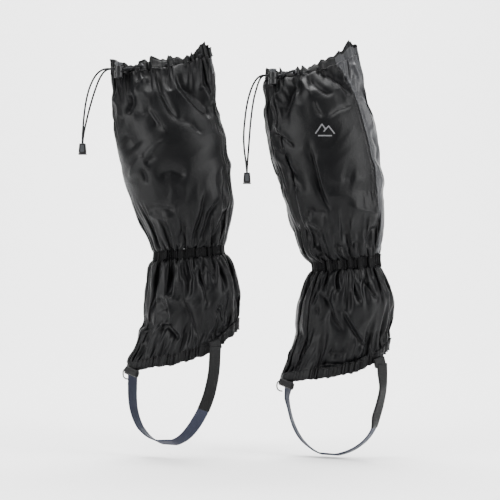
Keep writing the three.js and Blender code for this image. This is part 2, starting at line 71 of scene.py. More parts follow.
# ---- the two gaiters, in millimetres ----------------------------------------------------------
# strap_turn, pads, trim and pleat_seed are this script's own; the rest is as in the CAD source
# stations: front x, front z, back x, back z, half width, front pinch, back pinch
RIGHT = {
    "stations": [
        (-158, 483, -37, 505, 25, 0.5, 0.45), (-157, 448, -26, 455, 45, 0.25, 0.2),
        (-151, 384, -14, 384, 57, 0, 0), (-132.5, 319, -8, 319, 55, 0, 0),
        (-109, 266, -17, 271, 42, 0, 0), (-106, 249, -20, 257, 38, 0, 0),
        (-111, 236, -13, 243, 41, 0, 0), (-119, 188, 0, 194, 50, 0.2, 0),
        (-139.5, 109, -1, 165, 46, 0.55, 0),
    ],
    "cuff_dip": 8, "hem_arch": 92, "lateral": 1, "pleat_seed": 31,
    "lock": (-148.5, -20.5, 480.5), "cord_end": (-193, -21, 382.5), "roll": (-132.6, -16.6, 106),
    "front_tab": (-133, 14, 108), "rear_tab": (-28.7, -41, 141),
    "strap_head": (-134, 14), "strap_tail": (-29, -41),
    # x, z, twist in degrees
    "strap": [
        (-134, 98, 22), (-134.3, 85, 20), (-134.2, 71, 17), (-132.6, 57, 12), (-128.5, 43.5, 6),
        (-121.5, 31.5, 2), (-112.5, 21.5, 0), (-98, 14.2, 0), (-80, 14.2, 0), (-67, 20.5, 0),
        (-57, 30, -3), (-48.5, 43, -9), (-41, 58.5, -15), (-35.5, 75, -21), (-32, 92, -27),
        (-29.8, 110, -32), (-29, 130, -35),
    ],
    # x, z, y of the two free ends of the drawcord, from the eyelet to the cord end
    # degrees that the soft strap turns further than the CAD's at each point of its route
    "strap_turn": (0, 0, 0, 0, 0, -4, -12, -26, -34, -38, -43, -41, -33, -23, -13, -4, 0),
    # where the hem stands out to the webbing sewn on it: angle and half width in degrees, millimetres
    "pads": [(24, 11, 2.4), (336, 10, 2.3), (127, 7, 3.0)],
    # how far the cloth stands out from the smooth sleeve at its front and back edges: z, millimetres
    "trim": {
        "front": [
            (104, 5), (113, 5), (123, 1), (131, -3), (140, -4.5),
            (150, -4.5), (158, -3), (165, -8), (172, -6.5),
            (180, -3), (190, -1), (205, 0), (262, 1), (300, 2.5), (345, 3), (375, 2), (425, 2), (450, 0),
        ],
        "back": [
            (142, 0), (150, -4), (157, -6), (165, -2), (180, -1),
            (195, 0), (205, 2), (220, 2.5), (235, 2.5), (245, 1.5),
            (262, 0), (400, 0), (415, -3), (425, -4), (437, -5), (450, -4), (463, -2.5), (475, 0),
        ],
    },
    "cords": {
        "outer": [
            (-120.5, 483.2, -16.6), (-121.1, 484.3, -19.1), (-123.4, 484.5, -21.3), (-128, 483, -21.9),
            (-134.5, 481.2, -21.9), (-141.5, 480.5, -21.9), (-147, 480.5, -21.9), (-153, 480.5, -21.9),
            (-159, 480.5, -21.9), (-164, 480.4, -21.9), (-169, 478.9, -22), (-173.6, 475.6, -22.2),
            (-177.8, 470.5, -22.4), (-181.5, 463.5, -22.6), (-184.5, 456, -22.8), (-187, 447, -23),
            (-189, 437, -23), (-190.5, 426, -23), (-191.7, 414, -22.9), (-192.6, 402, -22.6),
            (-193, 392, -22.4), (-193, 384, -22.4), (-193, 380.2, -22.4),
        ],
        "inner": [
            (-134, 482.4, -13), (-134.8, 483.2, -15.8), (-136.8, 482.6, -18.2), (-139.4, 481.2, -19.1),
            (-142.4, 480.5, -19.1), (-147, 480.5, -19.1), (-153, 480.5, -19.1), (-159, 480.5, -19.1),
            (-163, 479.6, -19.1), (-166.8, 476.8, -19), (-170.4, 472, -18.8), (-173.7, 465.5, -18.6),
            (-177, 457, -18.4), (-180, 448, -18.2), (-183, 438, -18.2), (-186, 427, -18.4),
            (-188.8, 415, -18.8), (-191.3, 403, -19.3), (-192.8, 392, -19.6), (-193, 384, -19.6),
            (-193, 380.2, -19.6),
        ],
    },
}
LEFT = {
    "stations": [
        (33, 474, 147, 506, 25, 0.5, 0.45), (30, 446, 158, 458, 45, 0.25, 0.2),
        (36, 388, 172.5, 397, 57, 0, 0), (55, 322, 182.5, 324, 55, 0, 0),
        (77, 254, 179, 262, 42, 0, 0), (92.5, 235.6, 175.5, 244, 38, 0, 0),
        (86, 222, 180, 230, 41, 0, 0), (71, 175, 193, 177, 50, 0.2, 0),
        (52, 96, 187, 140, 46, 0.55, 0),
    ],
    "cuff_dip": 9, "hem_arch": 74, "lateral": -1, "pleat_seed": 41,
    "lock": (42, -20.5, 472.5), "cord_end": (10, -21, 346.5), "roll": (58.8, -16.6, 91),
    "front_tab": (62, 16.6, 93), "rear_tab": (172.5, -34.5, 119.5),
    "strap_head": (62, 16.6), "strap_tail": (176, -33),
    "strap": [
        (62, 82.5, 16), (61.9, 70, 13), (63.2, 56, 9), (66.3, 42.5, 6), (71.2, 29.5, 3),
        (78.4, 17.5, 1), (88.5, 7.6, 0), (102, 0.9, 0), (121, 0.9, 0), (136.5, 6.4, 0),
        (149, 14.8, 0), (158.5, 25, -3), (165.5, 38, -8), (170, 53, -14), (173, 69, -21),
        (175, 87, -29), (176, 108, -34),
    ],
    "strap_turn": (0, -13, -18, -15, -11, -11, -14, -14, -12, -10, -7, -2, 3, -8, 3, 15, 0),
    "pads": [(24, 11, 2.4), (328, 10, 1.8), (142, 8, 3.2)],
    "trim": {
        "front": [
            (100, 0), (106, -2), (113, -4), (122, -6), (130, -5),
            (137, -6), (145, -5), (155, -5), (165, -2), (190, 0),
            (225, 0), (262, -2), (280, -4), (290, -2.5), (325, 0),
            (338, -2.5), (350, -3), (370, -1), (400, -2),
            (420, -2), (433, -1), (441, -4), (449, -4), (458, 0),
        ],
        "back": [
            (142, -1), (150, -2.5), (157, -5), (165, -4), (172, -3),
            (180, -1.5), (192, 2), (200, 2.5), (215, 0),
            (228, -2), (262, -3), (270, -2), (318, -1), (330, -3), (345, -1), (380, 0), (470, -1),
        ],
    },
    "cords": {
        "outer": [
            (68.3, 476.5, -16.6), (67.6, 477.9, -18.9), (65.4, 478, -21.1), (61, 476, -21.9),
            (55.3, 473.6, -21.9), (49, 472.5, -21.9), (43.5, 472.5, -21.9), (37.5, 472.5, -21.9),
            (31.5, 472.5, -21.9), (27, 471.8, -21.9), (23, 469, -22), (19.6, 464.5, -22.2),
            (16.5, 458.5, -22.4), (13.6, 450.5, -22.6), (11, 441, -22.8), (9, 430, -23),
            (7.5, 418, -23), (6.3, 405, -23), (6, 392, -23), (6.8, 380, -22.8), (8.3, 368, -22.6),
            (9.6, 357, -22.4), (10, 349, -22.4), (10, 344.2, -22.4),
        ],
        "inner": [
            (55.6, 474.7, -13), (54.9, 475.8, -15.6), (53, 475, -18.2), (50.6, 473.3, -19.1),
            (47.8, 472.5, -19.1), (43.5, 472.5, -19.1), (37.5, 472.5, -19.1), (31.5, 472.5, -19.1),
            (28.2, 471, -19.1), (25.7, 467.3, -19), (23.4, 461.7, -18.8), (21.3, 454.6, -18.6),
            (19, 446, -18.4), (17, 435, -18.2), (15.3, 422, -18.2), (14, 409, -18.4), (13, 396, -18.6),
            (12, 383, -18.8), (11, 370, -19.2), (10.2, 358, -19.6), (10, 349, -19.6), (10, 344.2, -19.6),
        ],
    },
}
GAITERS = {"right": RIGHT, "left": LEFT}
CORD_D = 0.0024
# from here on in millimetres and degrees
CLOTH_THICK = 0.5
BAND_PROUD = -0.5
STRAP_WIDTH = 15
STRAP_THICK = 1.8
STRAP_ROWS = 321
# the black stretch of a strap starts at this share of its route
STRAP_DOUBLED = 0.75
ROLL = {"length": 20, "thick": 6, "height": 9, "yaw": -38, "tilt": 15, "layers": 3}
FRONT_TAB = {"length": 15, "thick": 3.4, "height": 12, "yaw": 42, "tilt": 0, "layers": 2}
REAR_TAB = {**FRONT_TAB, "yaw": 27, "tilt": -15}
HOOK_WIRE = 0.9
# a cord lock's cross slot is this much higher than a cord, and the two cords are this far apart
SLOT_ROOM = 0.6
CORDS_APART = 2.8
EYELET = {"ring": 2.85, "half_wide": 0.95, "half_thick": 0.55, "lift": 1.95, "around": 48, "across": 14}
# the hem is smooth where the lace hook swings past it
HOOK_SIDE = {"angle": 24, "half": 34}
BEVEL_FROM = math.radians(35)
RECT = ((-1, -1), (1, -1), (1, 1), (-1, 1))


# ---- curves -----------------------------------------------------------------------------------
def catmull(points, t):
    """Centripetal Catmull-Rom curve through points (n, k), at each t from 0 to 1."""
    pts = np.asarray(points, float)
    t = np.asarray(t, float)
    last = len(pts) - 1
    place = np.clip(t, 0, 1) * last
    i = np.clip(np.floor(place).astype(int), 0, last - 1)
    w = (place - i)[..., None]
    before = np.concatenate([[2 * pts[0] - pts[1]], pts, [2 * pts[-1] - pts[-2]]])
    p0, p1, p2, p3 = (before[i + k] for k in range(4))

    def chord(a, b):
        return np.maximum(np.sqrt(np.linalg.norm(b - a, axis=-1, keepdims=True)), 1e-9)

    d0, d1, d2 = chord(p0, p1), chord(p1, p2), chord(p2, p3)
    t1 = ((p1 - p0) / d0 - (p2 - p0) / (d0 + d1) + (p2 - p1) / d1) * d1
    t2 = ((p2 - p1) / d1 - (p3 - p1) / (d1 + d2) + (p3 - p2) / d2) * d1
    c2 = -3 * p1 + 3 * p2 - 2 * t1 - t2
    c3 = 2 * p1 - 2 * p2 + t1 + t2
    return p1 + w * (t1 + w * (c2 + w * c3))


def smoothstep(x):
    x = np.clip(x, 0, 1)
    return x * x * (3 - 2 * x)


def unit(v):
    return v / np.maximum(np.linalg.norm(v, axis=-1, keepdims=True), 1e-12)


def distances(points):
    """How far along a path each of its points is."""
    return np.concatenate([[0], np.cumsum(np.linalg.norm(np.diff(points, axis=0), axis=1))])


def turns(count):
    """That many even steps round a full turn."""
    return 2 * np.pi * np.arange(count) / count


# ---- camera -----------------------------------------------------------------------------------
def add_camera():
    data = bpy.data.cameras.new("camera")
    data.lens = 100
    data.sensor_width = 36
    camera = bpy.data.objects.new("camera", data)
    camera.location = (0.01375, -1.736, 0.2569)
    camera.rotation_euler = (math.pi / 2, 0, 0)
    bpy.context.scene.collection.objects.link(camera)
    bpy.context.scene.camera = camera


# ---- meshes -----------------------------------------------------------------------------------
def grid_faces(rows, cols, closed=False):
    i, j = np.meshgrid(np.arange(rows - 1), np.arange(cols if closed else cols - 1), indexing="ij")
    k = (j + 1) % cols
    return np.stack([i * cols + j, i * cols + k, (i + 1) * cols + k, (i + 1) * cols + j], -1).reshape(-1, 4)


def fan(ring, tip):
    """Triangles from the edges of a ring of vertices to one more vertex."""
    return [[b, a, tip] for a, b in zip(ring, [*ring[1:], ring[0]])]


def stack(corners):
    """A closed solid through stacked sections of four corners each."""
    verts = np.array(corners, float)
    last = len(verts) - 4
    faces = grid_faces(len(verts) // 4, 4, closed=True).tolist()
    return verts, [*faces, [3, 2, 1, 0], list(range(last, last + 4))]


def make_mesh(name, verts, faces, uv=None, material=None, smooth=True):
    """A mesh object whose faces are turned outwards, with a UV for each vertex."""
    mesh = bpy.data.meshes.new(name)
    mesh.from_pydata(np.asarray(verts).tolist(), [], [list(map(int, f)) for f in faces])
    if uv is not None:
        loops = np.zeros(len(mesh.loops), np.int32)
        mesh.loops.foreach_get("vertex_index", loops)
        layer = mesh.uv_layers.new(name="UVMap")
        layer.data.foreach_set("uv", np.asarray(uv, np.float32)[loops].ravel())
    mesh.polygons.foreach_set("use_smooth", np.full(len(mesh.polygons), smooth))
    solid = bmesh.new()
    solid.from_mesh(mesh)
    if solid.calc_volume(signed=True) < 0:
        mesh.flip_normals()
    solid.free()
    if material:
        mesh.materials.append(material)
    mesh.update()
    obj = bpy.data.objects.new(name, mesh)
    bpy.context.scene.collection.objects.link(obj)
    return obj


def tube(name, path, radius, sides, material, body):
    """A round closed tube along a path, with a UV of distance round it and along it."""
    path = np.asarray(path)
    along = unit(np.gradient(path, axis=0))
    side = unit(np.cross(along[0], [0.3, 0.2, 1.0]))
    carried = []
    for a in along:
        side = unit(side - a * (side @ a))
        carried.append(side)
    side = np.array(carried)
    angle = turns(sides)[None, :, None]
    spokes = np.cos(angle) * side[:, None] + np.sin(angle) * np.cross(along, side)[:, None]
    rings = path[:, None] + radius * spokes
    verts = np.concatenate([rings.reshape(-1, 3), path[:1], path[-1:]])
    count = len(verts) - 2
    faces = grid_faces(len(path), sides, closed=True).tolist()
    faces += fan(list(range(sides)), count)
    faces += fan(list(range(count - 1, count - 1 - sides, -1)), count + 1)
    length = distances(path)
    around = np.abs(np.arange(sides) - sides / 2) * 2 / sides * radius * np.pi
    uv = np.stack(np.meshgrid(around, length), -1).reshape(-1, 2)
    uv = np.concatenate([uv, [[0, 0], [0, length[-1]]]])
    obj = make_mesh(name, verts, faces, uv, material)
    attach(obj, body)
    return obj


# ---- materials --------------------------------------------------------------------------------
class Look:
    """A material's node tree, built from short calls."""

    def __init__(self, name, color, roughness, **sockets):
        self.material = bpy.data.materials.new(name)
        self.material.use_nodes = True
        self.tree = self.material.node_tree
        self.shader = self.tree.nodes["Principled BSDF"]
        self.shader.inputs["Base Color"].default_value = (*color, 1)
        self.shader.inputs["Roughness"].default_value = roughness
        for key, value in sockets.items():
            self.shader.inputs[key.replace("_", " ")].default_value = value
        self.color = color
        self.normal = None

    def node(self, kind, **settings):
        made = self.tree.nodes.new(kind)
        for key, value in settings.items():
            if key in made.inputs:
                made.inputs[key].default_value = value
            else:
                setattr(made, key, value)
        return made

    def link(self, a, b):
        self.tree.links.new(a, b)

    def uv(self):
        return self.node("ShaderNodeUVMap", uv_map="UVMap").outputs[0]

    def place(self):
        return self.node("ShaderNodeTexCoord").outputs["Object"]

    def scaled(self, vector, scale):
        made = self.node("ShaderNodeVectorMath", operation="MULTIPLY")
        self.link(vector, made.inputs[0])
        made.inputs[1].default_value = scale
        return made.outputs[0]

    def noise(self, vector, scale, detail=3.0):
        made = self.node("ShaderNodeTexNoise", Scale=scale, Detail=detail)
        self.link(vector, made.inputs["Vector"])
        return made.outputs["Fac"]

    def wave(self, vector, direction, period):
        """A wave of that period in metres: a wave texture of scale 1 repeats each pi/10."""
        bands = {"wave_type": "BANDS", "bands_direction": direction, "wave_profile": "SIN"}
        made = self.node("ShaderNodeTexWave", **bands)
        made.inputs["Scale"].default_value = math.pi / (10 * period)
        self.link(vector, made.inputs["Vector"])
        return made.outputs["Fac"]

    def mix(self, fac, low, high):
        """Maps a 0 to 1 value to low..high."""
        made = self.node("ShaderNodeMapRange")
        self.link(fac, made.inputs["Value"])
        made.inputs["To Min"].default_value = low
        made.inputs["To Max"].default_value = high
        return made.outputs[0]

    def math(self, operation, a, b):
        made = self.node("ShaderNodeMath", operation=operation)
        for socket, value in zip(made.inputs, (a, b)):
            if isinstance(value, (int, float)):
                socket.default_value = value
            else:
                self.link(value, socket)
        return made.outputs[0]

    def shade(self, fac, low, high):
        """Multiplies the colour by low..high as fac goes 0..1."""
        made = self.node("ShaderNodeMix", data_type="RGBA", blend_type="MIX")
        self.link(fac, made.inputs["Factor"])
        made.inputs["A"].default_value = (*[c * low for c in self.color], 1)
        made.inputs["B"].default_value = (*[c * high for c in self.color], 1)
        self.link(made.outputs["Result"], self.shader.inputs["Base Color"])

    def bump(self, height, distance, strength=1.0):
        made = self.node("ShaderNodeBump")
        made.inputs["Strength"].default_value = strength
        made.inputs["Distance"].default_value = distance
        self.link(height, made.inputs["Height"])
        if self.normal:
            self.link(self.normal, made.inputs["Normal"])
        self.normal = made.outputs[0]
        self.link(self.normal, self.shader.inputs["Normal"])

    def rough(self, fac, low, high):
        self.link(self.mix(fac, low, high), self.shader.inputs["Roughness"])


# how uneven most of the cloths' colours are
EVEN = (0.75, 1.3)
# colour, least and greatest roughness, weave pitch and depth in metres, unevenness, specular level
WEAVES = {
    "shell": ("shell_nylon", (0.0018, 0.0019, 0.0022), (0.36, 0.5), (0.0003, 0.00008), EVEN, 0.12),
    # the ankle casing's cloth: the shell nylon painted darker and less glossy, as painted shade for the
    # shadows between its gathers
    "gathered": ("gathered_nylon_painted_shade", (0.001, 0.001, 0.0012), (0.45, 0.6), (0.0003, 0.00008), EVEN, 0.06),
    # the rear panel's cloth: painted lighter than the shell, with strong light and dark patches, as painted
    # sheen for the glare on that side
    "rear": ("rear_nylon_painted_sheen", (0.014, 0.0145, 0.0162), (0.38, 0.5), (0.0005, 0.00015), (0.1, 2.2), 0.34),
    "elastic": ("woven_elastic", (0.003, 0.003, 0.003), (0.7, 0.85), (0.0008, 0.0003), EVEN, 0.2),
    "webbing": ("webbing", (0.0015, 0.0016, 0.0018), (0.42, 0.6), (0.0009, 0.0004), EVEN, 0.14),
}


def woven(name, color, gloss, weave, tone_patches_and_sheen, specular):
    """Plain weave, with fine creases and slight unevenness in its colour and gloss; the rear cloth's strong
    colour patches are painted sheen.
    """
    pitch, depth = weave
    look = Look(name, color, sum(gloss) / 2, Specular_IOR_Level=specular)
    uv = look.uv()
    warp = look.wave(uv, "X", 2 * pitch)
    weft = look.wave(uv, "Y", 2 * pitch)
    look.bump(look.math("MULTIPLY", warp, weft), depth, 0.5)
    look.bump(look.noise(look.place(), 260, 4.0), 0.0006, 0.35)
    look.bump(look.noise(look.place(), 700, 3.0), 0.0004, 0.45)
    look.rough(look.noise(look.place(), 45, 3.0), *gloss)
    # colour patches: random tone on most cloths, painted sheen on the rear cloth
    look.shade(look.noise(look.place(), 30, 5.0), *tone_patches_and_sheen)
    return look


def strap_look():
    """Coated webbing with ribs along it and fine marks across."""
    strap = Look("strap_webbing", (0.018, 0.0205, 0.034), 0.55, Specular_IOR_Level=0.1)
    uv = strap.uv()
    strap.bump(strap.wave(uv, "X", 0.0016), 0.0003, 0.5)
    strap.bump(strap.math("MULTIPLY", strap.wave(uv, "Y", 0.0012), strap.wave(uv, "X", 0.0016)), 0.0002, 0.5)
    strap.shade(strap.noise(strap.place(), 60), 0.85, 1.15)
    strap.rough(strap.noise(strap.place(), 90), 0.42, 0.58)
    return strap


def cord_look():
    """A braid: two waves that cross at a slant, with grey flecks."""
    cord = Look("braided_cord", (0.003, 0.0032, 0.0038), 0.6, Specular_IOR_Level=0.15)
    uv = cord.uv()
    strands = []
    for slant in (35, -35):
        turned_uv = cord.node("ShaderNodeVectorRotate", rotation_type="Z_AXIS", Angle=math.radians(slant))
        cord.link(uv, turned_uv.inputs["Vector"])
        strands.append(cord.wave(turned_uv.outputs[0], "Y", 0.0011))
    cord.bump(cord.math("MULTIPLY", *strands), 0.0004, 0.8)
    cord.shade(cord.noise(cord.scaled(uv, (900, 500, 1)), 1.0, 1.0), 0.5, 2.4)
    return cord


def plastic_look(name, color):
    look = Look(name, color, 0.4, Specular_IOR_Level=0.25)
    look.bump(look.noise(look.place(), 2500, 2.0), 0.00004, 0.4)
    look.rough(look.noise(look.place(), 300), 0.4, 0.5)
    look.shade(look.noise(look.place(), 120), 0.9, 1.1)
    return look


def steel_look():
    steel = Look("plated_steel", (0.04, 0.04, 0.043), 0.25, Metallic=1.0)
    steel.rough(steel.noise(steel.place(), 900), 0.18, 0.34)
    steel.bump(steel.noise(steel.scaled(steel.place(), (1, 1, 6)), 1500), 0.00003, 0.4)
    return steel


def ink_look():
    ink = Look("print_ink", (0.085, 0.085, 0.09), 0.5)
    ink.bump(ink.noise(ink.place(), 1500), 0.00005, 0.5)
    return ink


def make_materials():
    looks = {key: woven(*values) for key, values in WEAVES.items()}
    looks["strap"] = strap_look()
    looks["cord"] = cord_look()
    looks["plastic"] = plastic_look("moulded_plastic", (0.004, 0.0042, 0.0047))
    looks["plastic_light"] = plastic_look("moulded_plastic_light", (0.03, 0.031, 0.034))
    looks["steel"] = steel_look()
    looks["ink"] = ink_look()
    return {key: look.material for key, look in looks.items()}


# ---- the leg's surface ------------------------------------------------------------------------
# the gathered bands: the leg's station each is on, and half its height
CUFF = {"station": 0, "half": 6.2}
ANKLE = {"station": 5, "half": 6.6}
HEM = {"station": 8, "half": 7.0}
# how far the panels' cloth goes in behind a band
TUCK = 1.5
# degrees round from the shin, for a gaiter whose lateral side faces -Y
SEAMS = {"shin": 38, "shin_hem": 44, "rear_top": 134, "rear_ankle": 152, "medial": 190}
# a band's cloth laid flat is this many times longer than the band when gathered
LET_OUT = 1.4
# the rear seam starts this many degrees further forward at the cuff, over this share of the panel's height
SEAM_SWEEP = {"angle": 13, "share": 0.22}


class Leg:
    """The sleeve's smooth surface: station 0 to 8 down it, angle 0 at the shin and 90 facing -Y."""

    def __init__(self, spec):
        rows = np.array(spec["stations"], float)
        self.curves = [rows[:, pick] for pick in ([0, 1], [2, 3], [4, 5], [4, 6])]
        self.spec = spec

    def __call__(self, station, angle):
        station, angle = np.broadcast_arrays(np.asarray(station, float), np.asarray(angle, float))
        t = np.clip(station / HEM["station"], 0, 1)
        shin, calf, width, rear = (catmull(curve, t) for curve in self.curves)
        share = (1 - np.cos(angle)) / 2
        point = np.empty((*station.shape, 3))
        point[..., 0] = shin[..., 0] + (calf[..., 0] - shin[..., 0]) * share
        point[..., 2] = shin[..., 1] + (calf[..., 1] - shin[..., 1]) * share
        pinch = width[..., 1] * (1 - share) ** 2 + rear[..., 1] * share**2
        point[..., 1] = -width[..., 0] * np.sin(angle) * (1 - pinch)
        point[..., 2] -= self.spec["cuff_dip"] * np.sin(angle) ** 2 * np.maximum(0, 1 - station)
        low = np.maximum(0, station - (HEM["station"] - 1))
        point[..., 2] -= self.spec["hem_arch"] * share**2 * (1 - share) * low**2
        return point

    def frame(self, station, angle):
        """Point, outward normal and downward direction."""
        step = 0.01
        s = np.clip(station, step, HEM["station"] - step)
        down = unit(self(s + step, angle) - self(s - step, angle))
        around = unit(self(s, angle + step) - self(s, angle - step))
        return self(station, angle), unit(np.cross(down, around)), down


class Pleats:
    """Uneven gathers round a ring of the leg: a phase and a strength for every angle."""

    def __init__(self, leg, station, spacing, seed):
        rng = np.random.default_rng(seed)
        self.angles = np.linspace(0, 2 * np.pi, 2049)
        ring = leg(station, self.angles)
        length = distances(ring)
        self.length = length[-1]
        self.count = 2 * round(self.length / spacing / 2)
        self.phase = length / length[-1] * self.count + 0.42 * self.wander(rng, self.count // 2)
        self.strength = 1 + 0.38 * self.wander(rng, self.count)
        self.reach = 1 + 0.6 * self.wander(rng, self.count // 2)
        self.lean = self.wander(rng, 14)

    def wander(self, rng, top):
        """Smooth periodic noise of about unit size, with up to top waves round."""
        waves = np.arange(max(2, top // 5), top + 1)
        size = rng.normal(size=(2, len(waves)))
        angle = np.outer(waves, self.angles)
        made = size[0] @ np.cos(angle) + size[1] @ np.sin(angle)
        return made / made.std()

    def at(self, angle, values):
        return np.interp(np.mod(angle, 2 * np.pi), self.angles, values)

    def fine(self, angle, finer=1):
        """Rounded crests and sharp troughs, from -1 to 1."""
        phase = self.at(angle, self.phase) * finer
        crest = 2 * np.abs(np.sin(np.pi * phase)) ** 0.8 - 1
        return crest * np.clip(self.at(angle, self.strength), 0.25, 2)

    def coarse(self, angle):
        return np.sin(np.pi * self.at(angle, self.phase) + self.at(angle, self.lean))


# ---- cloth ------------------------------------------------------------------------------------
# rounds of settling on each of three grids, by how many times coarser than the last one it is
ROUNDS = {4: 120, 2: 100, 1: 90}
# the cloth's motion in each round, and its resistance to bending and shear
WEAVE = {"keep": 0.86, "push": 0.004, "fall": 0.004, "bend": 0.018, "shear": 0.35, "creep": 0.004}


def meridians(leg, top, bottom, rows, cols):
    """Stations and angles of a grid whose rows are evenly spaced down each meridian between two bands."""
    angle = turns(cols)
    fine = np.linspace(top["station"], bottom["station"], 260)
    points = leg(fine[:, None], angle[None, :])
    steps = np.linalg.norm(np.diff(points, axis=0), axis=-1)
    length = np.concatenate([np.zeros((1, cols)), np.cumsum(steps, axis=0)])
    first = top["half"] - TUCK
    last = length[-1] - bottom["half"] + TUCK
    wanted = first + np.linspace(0, 1, rows + 1)[:, None] * (last - first)
    station = np.stack([np.interp(wanted[:, j], length[:, j], fine) for j in range(cols)], axis=1)
    return station, np.broadcast_to(angle, station.shape), last - first


def normals(points):
    down = np.gradient(points, axis=0)
    around = np.roll(points, -1, axis=1) - np.roll(points, 1, axis=1)
    return unit(np.cross(down, around))


def resample(field, rows, cols):
    """Bilinear resampling of a periodic grid field to rows + 1 by cols."""
    r0, c0 = field.shape[0] - 1, field.shape[1]
    r = np.linspace(0, r0, rows + 1)
    c = np.arange(cols) * c0 / cols
    i = np.clip(r.astype(int), 0, r0 - 1)
    j = c.astype(int)
    fr = (r - i)[:, None, None]
    fc = (c - j)[None, :, None]
    k = (j + 1) % c0
    top = field[i][:, j] * (1 - fc) + field[i][:, k] * fc
    low = field[i + 1][:, j] * (1 - fc) + field[i + 1][:, k] * fc
    return top * (1 - fr) + low * fr


def pull(a, b, rest, stiff, slack=1.0):
    """Moves two views of points towards their rest distance. slack is for points that are too close."""
    d = b - a
    length = np.sqrt(np.einsum("...k,...k->...", d, d))
    over = length - rest
    share = 0.5 * stiff * over / np.maximum(length, 1e-6)
    if slack != 1.0:
        share = np.where(over < 0, share * slack, share)
    d *= share[..., None]
    a += d
    b -= d


def settle(x, base, out, rest_u, rest_v, limits, goal, hold, rounds):
    """Position-based cloth on a periodic grid. limits bound its height over base; goal and hold steer it."""
    rest_d = np.sqrt(((rest_u[:-1] + rest_u[1:]) / 2) ** 2 + rest_v**2)
    pinned_top, pinned_low = x[0].copy(), x[-1].copy()
    before = x.copy()
    columns = (
        (slice(0, None, 2), slice(1, None, 2)), (slice(1, -1, 2), slice(2, None, 2)),
        (slice(-1, None), slice(0, 1)),
    )
    row_pairs = (
        (slice(0, -1, 2), slice(1, None, 2), slice(0, None, 2)),
        (slice(1, -1, 2), slice(2, None, 2), slice(1, None, 2)),
    )
    shears = (
        (slice(0, -1), slice(1, None)), (slice(1, None), slice(0, -1)),
        (slice(-1, None), slice(0, 1)), (slice(0, 1), slice(-1, None)),
    )
    for _ in range(rounds):
        speed = (x - before) * WEAVE["keep"]
        before = x.copy()
        x += speed
        x += out * WEAVE["push"]
        x[..., 2] -= WEAVE["fall"]
        for a, b in columns:
            pull(x[:, a], x[:, b], rest_u[:, a], 1.0)
        for a, b, cell in row_pairs:
            pull(x[a], x[b], rest_v[cell], 1.0, 0.8)
        for a, b, cell in row_pairs:
            for left, right in shears:
                pull(x[a][:, left], x[b][:, right], rest_d[cell][:, left], WEAVE["shear"], 0.5)
        lift = x - base
        bend = np.roll(lift, 1, 1) + np.roll(lift, -1, 1) - 2 * lift
        bend[1:-1] += lift[2:] + lift[:-2] - 2 * lift[1:-1]
        back = np.roll(bend, 1, 1) + np.roll(bend, -1, 1) - 2 * bend
        back[1:-1] += bend[2:] + bend[:-2] - 2 * bend[1:-1]
        x -= back * WEAVE["bend"]
        height = np.einsum("...k,...k->...", x - base, out)
        wanted = np.clip(height + (goal - height) * hold, *limits)
        x += ((wanted - height) * 0.7)[..., None] * out
        drift = (x - base) - np.einsum("...k,...k->...", x - base, out)[..., None] * out
        x -= drift * WEAVE["creep"]
        x[0], x[-1] = pinned_top, pinned_low
    return x


def smooth_noise(u, v, waves_u, waves_v, count, rng, slant=0.0):
    """Noise of about unit size, periodic in the angle u. waves_v is per decimetre of v; slant leans it."""
    made = np.zeros(np.broadcast(u, v).shape)
    total = 0.0
    for _ in range(count):
        ku = rng.integers(waves_u[0], waves_u[1] + 1)
        kv = rng.uniform(*waves_v) * rng.choice([-1, 1]) + slant * ku
        size = rng.uniform(0.5, 1)
        made += size * np.sin(ku * u + 2 * np.pi * kv * v / 100 + rng.uniform(0, 2 * np.pi))
        total += size**2 / 2
    return made / math.sqrt(total)


def gathers(pleats, angle, distance, rng, strength):
    """Pleats that merge in pairs away from a band: each length of wave is strongest a little further out."""
    made = np.zeros(angle.shape)
    for wave in (9.0, 15.0, 25.0):
        count = pleats.length * 1.25 / wave
        waves_u = (round(count * 0.75), round(count * 1.25))
        noise = smooth_noise(angle, distance, waves_u, (0.0, 22 / wave), 9, rng)
        ridge = 0.75 * noise + 0.9 * (0.8 - np.abs(noise))
        window = np.exp(-(((distance - 1.1 * wave) / (1.2 * wave)) ** 2)) * smoothstep(distance / 5)
        made += strength * 0.085 * wave * ridge * window
    return made


def broad_folds(angle, down, spec, rng):
    """Long slack folds that cross the sleeve, with crisp crests."""
    warp = 0.35 * smooth_noise(angle, down, (1, 3), (0.3, 1.2), 6, rng)
    lean = spec["lean"]
    soft = smooth_noise(angle + warp, down, (2, 5), (0.4, 1.2), 10, rng, lean)
    crisp = smooth_noise(angle + warp, down, (4, 8), (0.6, 1.8), 12, rng, lean)
    small = smooth_noise(angle + warp, down, (8, 16), (1.0, 4.0), 16, rng, lean)
    patch = smoothstep(0.5 + 0.6 * smooth_noise(angle, down, (1, 4), (0.5, 2.0), 8, rng))
    made = spec["soft"] * soft + spec["crisp"] * (0.75 - np.abs(crisp)) * (0.35 + patch)
    return made + spec["small"] * (0.75 - np.abs(small)) * patch


def fold_field(points, out, folds):
    """Heights of the drawn folds at points on the side that faces -Y, and how firmly they hold."""
    goal = np.zeros(points.shape[:-1])
    hold = np.zeros(points.shape[:-1])
    facing = smoothstep((0.05 - out[..., 1]) / 0.4)
    for line, width, height, firm in folds:
        line = np.array(line, float)
        steps = np.linalg.norm(np.diff(line, axis=0), axis=1)
        gone = 0.0
        best = np.full(goal.shape, 1e9)
        share = np.zeros(goal.shape)
        for a, b, step in zip(line[:-1], line[1:], steps):
            p = points[..., ::2] - a
            d = b - a
            t = np.clip((p @ d) / (d @ d), 0, 1)
            far = np.linalg.norm(p - t[..., None] * d, axis=-1)
            share = np.where(far < best, (gone + t * step) / steps.sum(), share)
            best = np.minimum(best, far)
            gone += step
        taper = smoothstep(np.minimum(share, 1 - share) / 0.3 + 0.1) * facing
        near = np.exp(-((best / width) ** 2)) * taper
        goal += height * np.exp(-np.abs(best / width) ** 1.3) * taper
        hold = np.maximum(hold, near * firm)
    return goal, hold


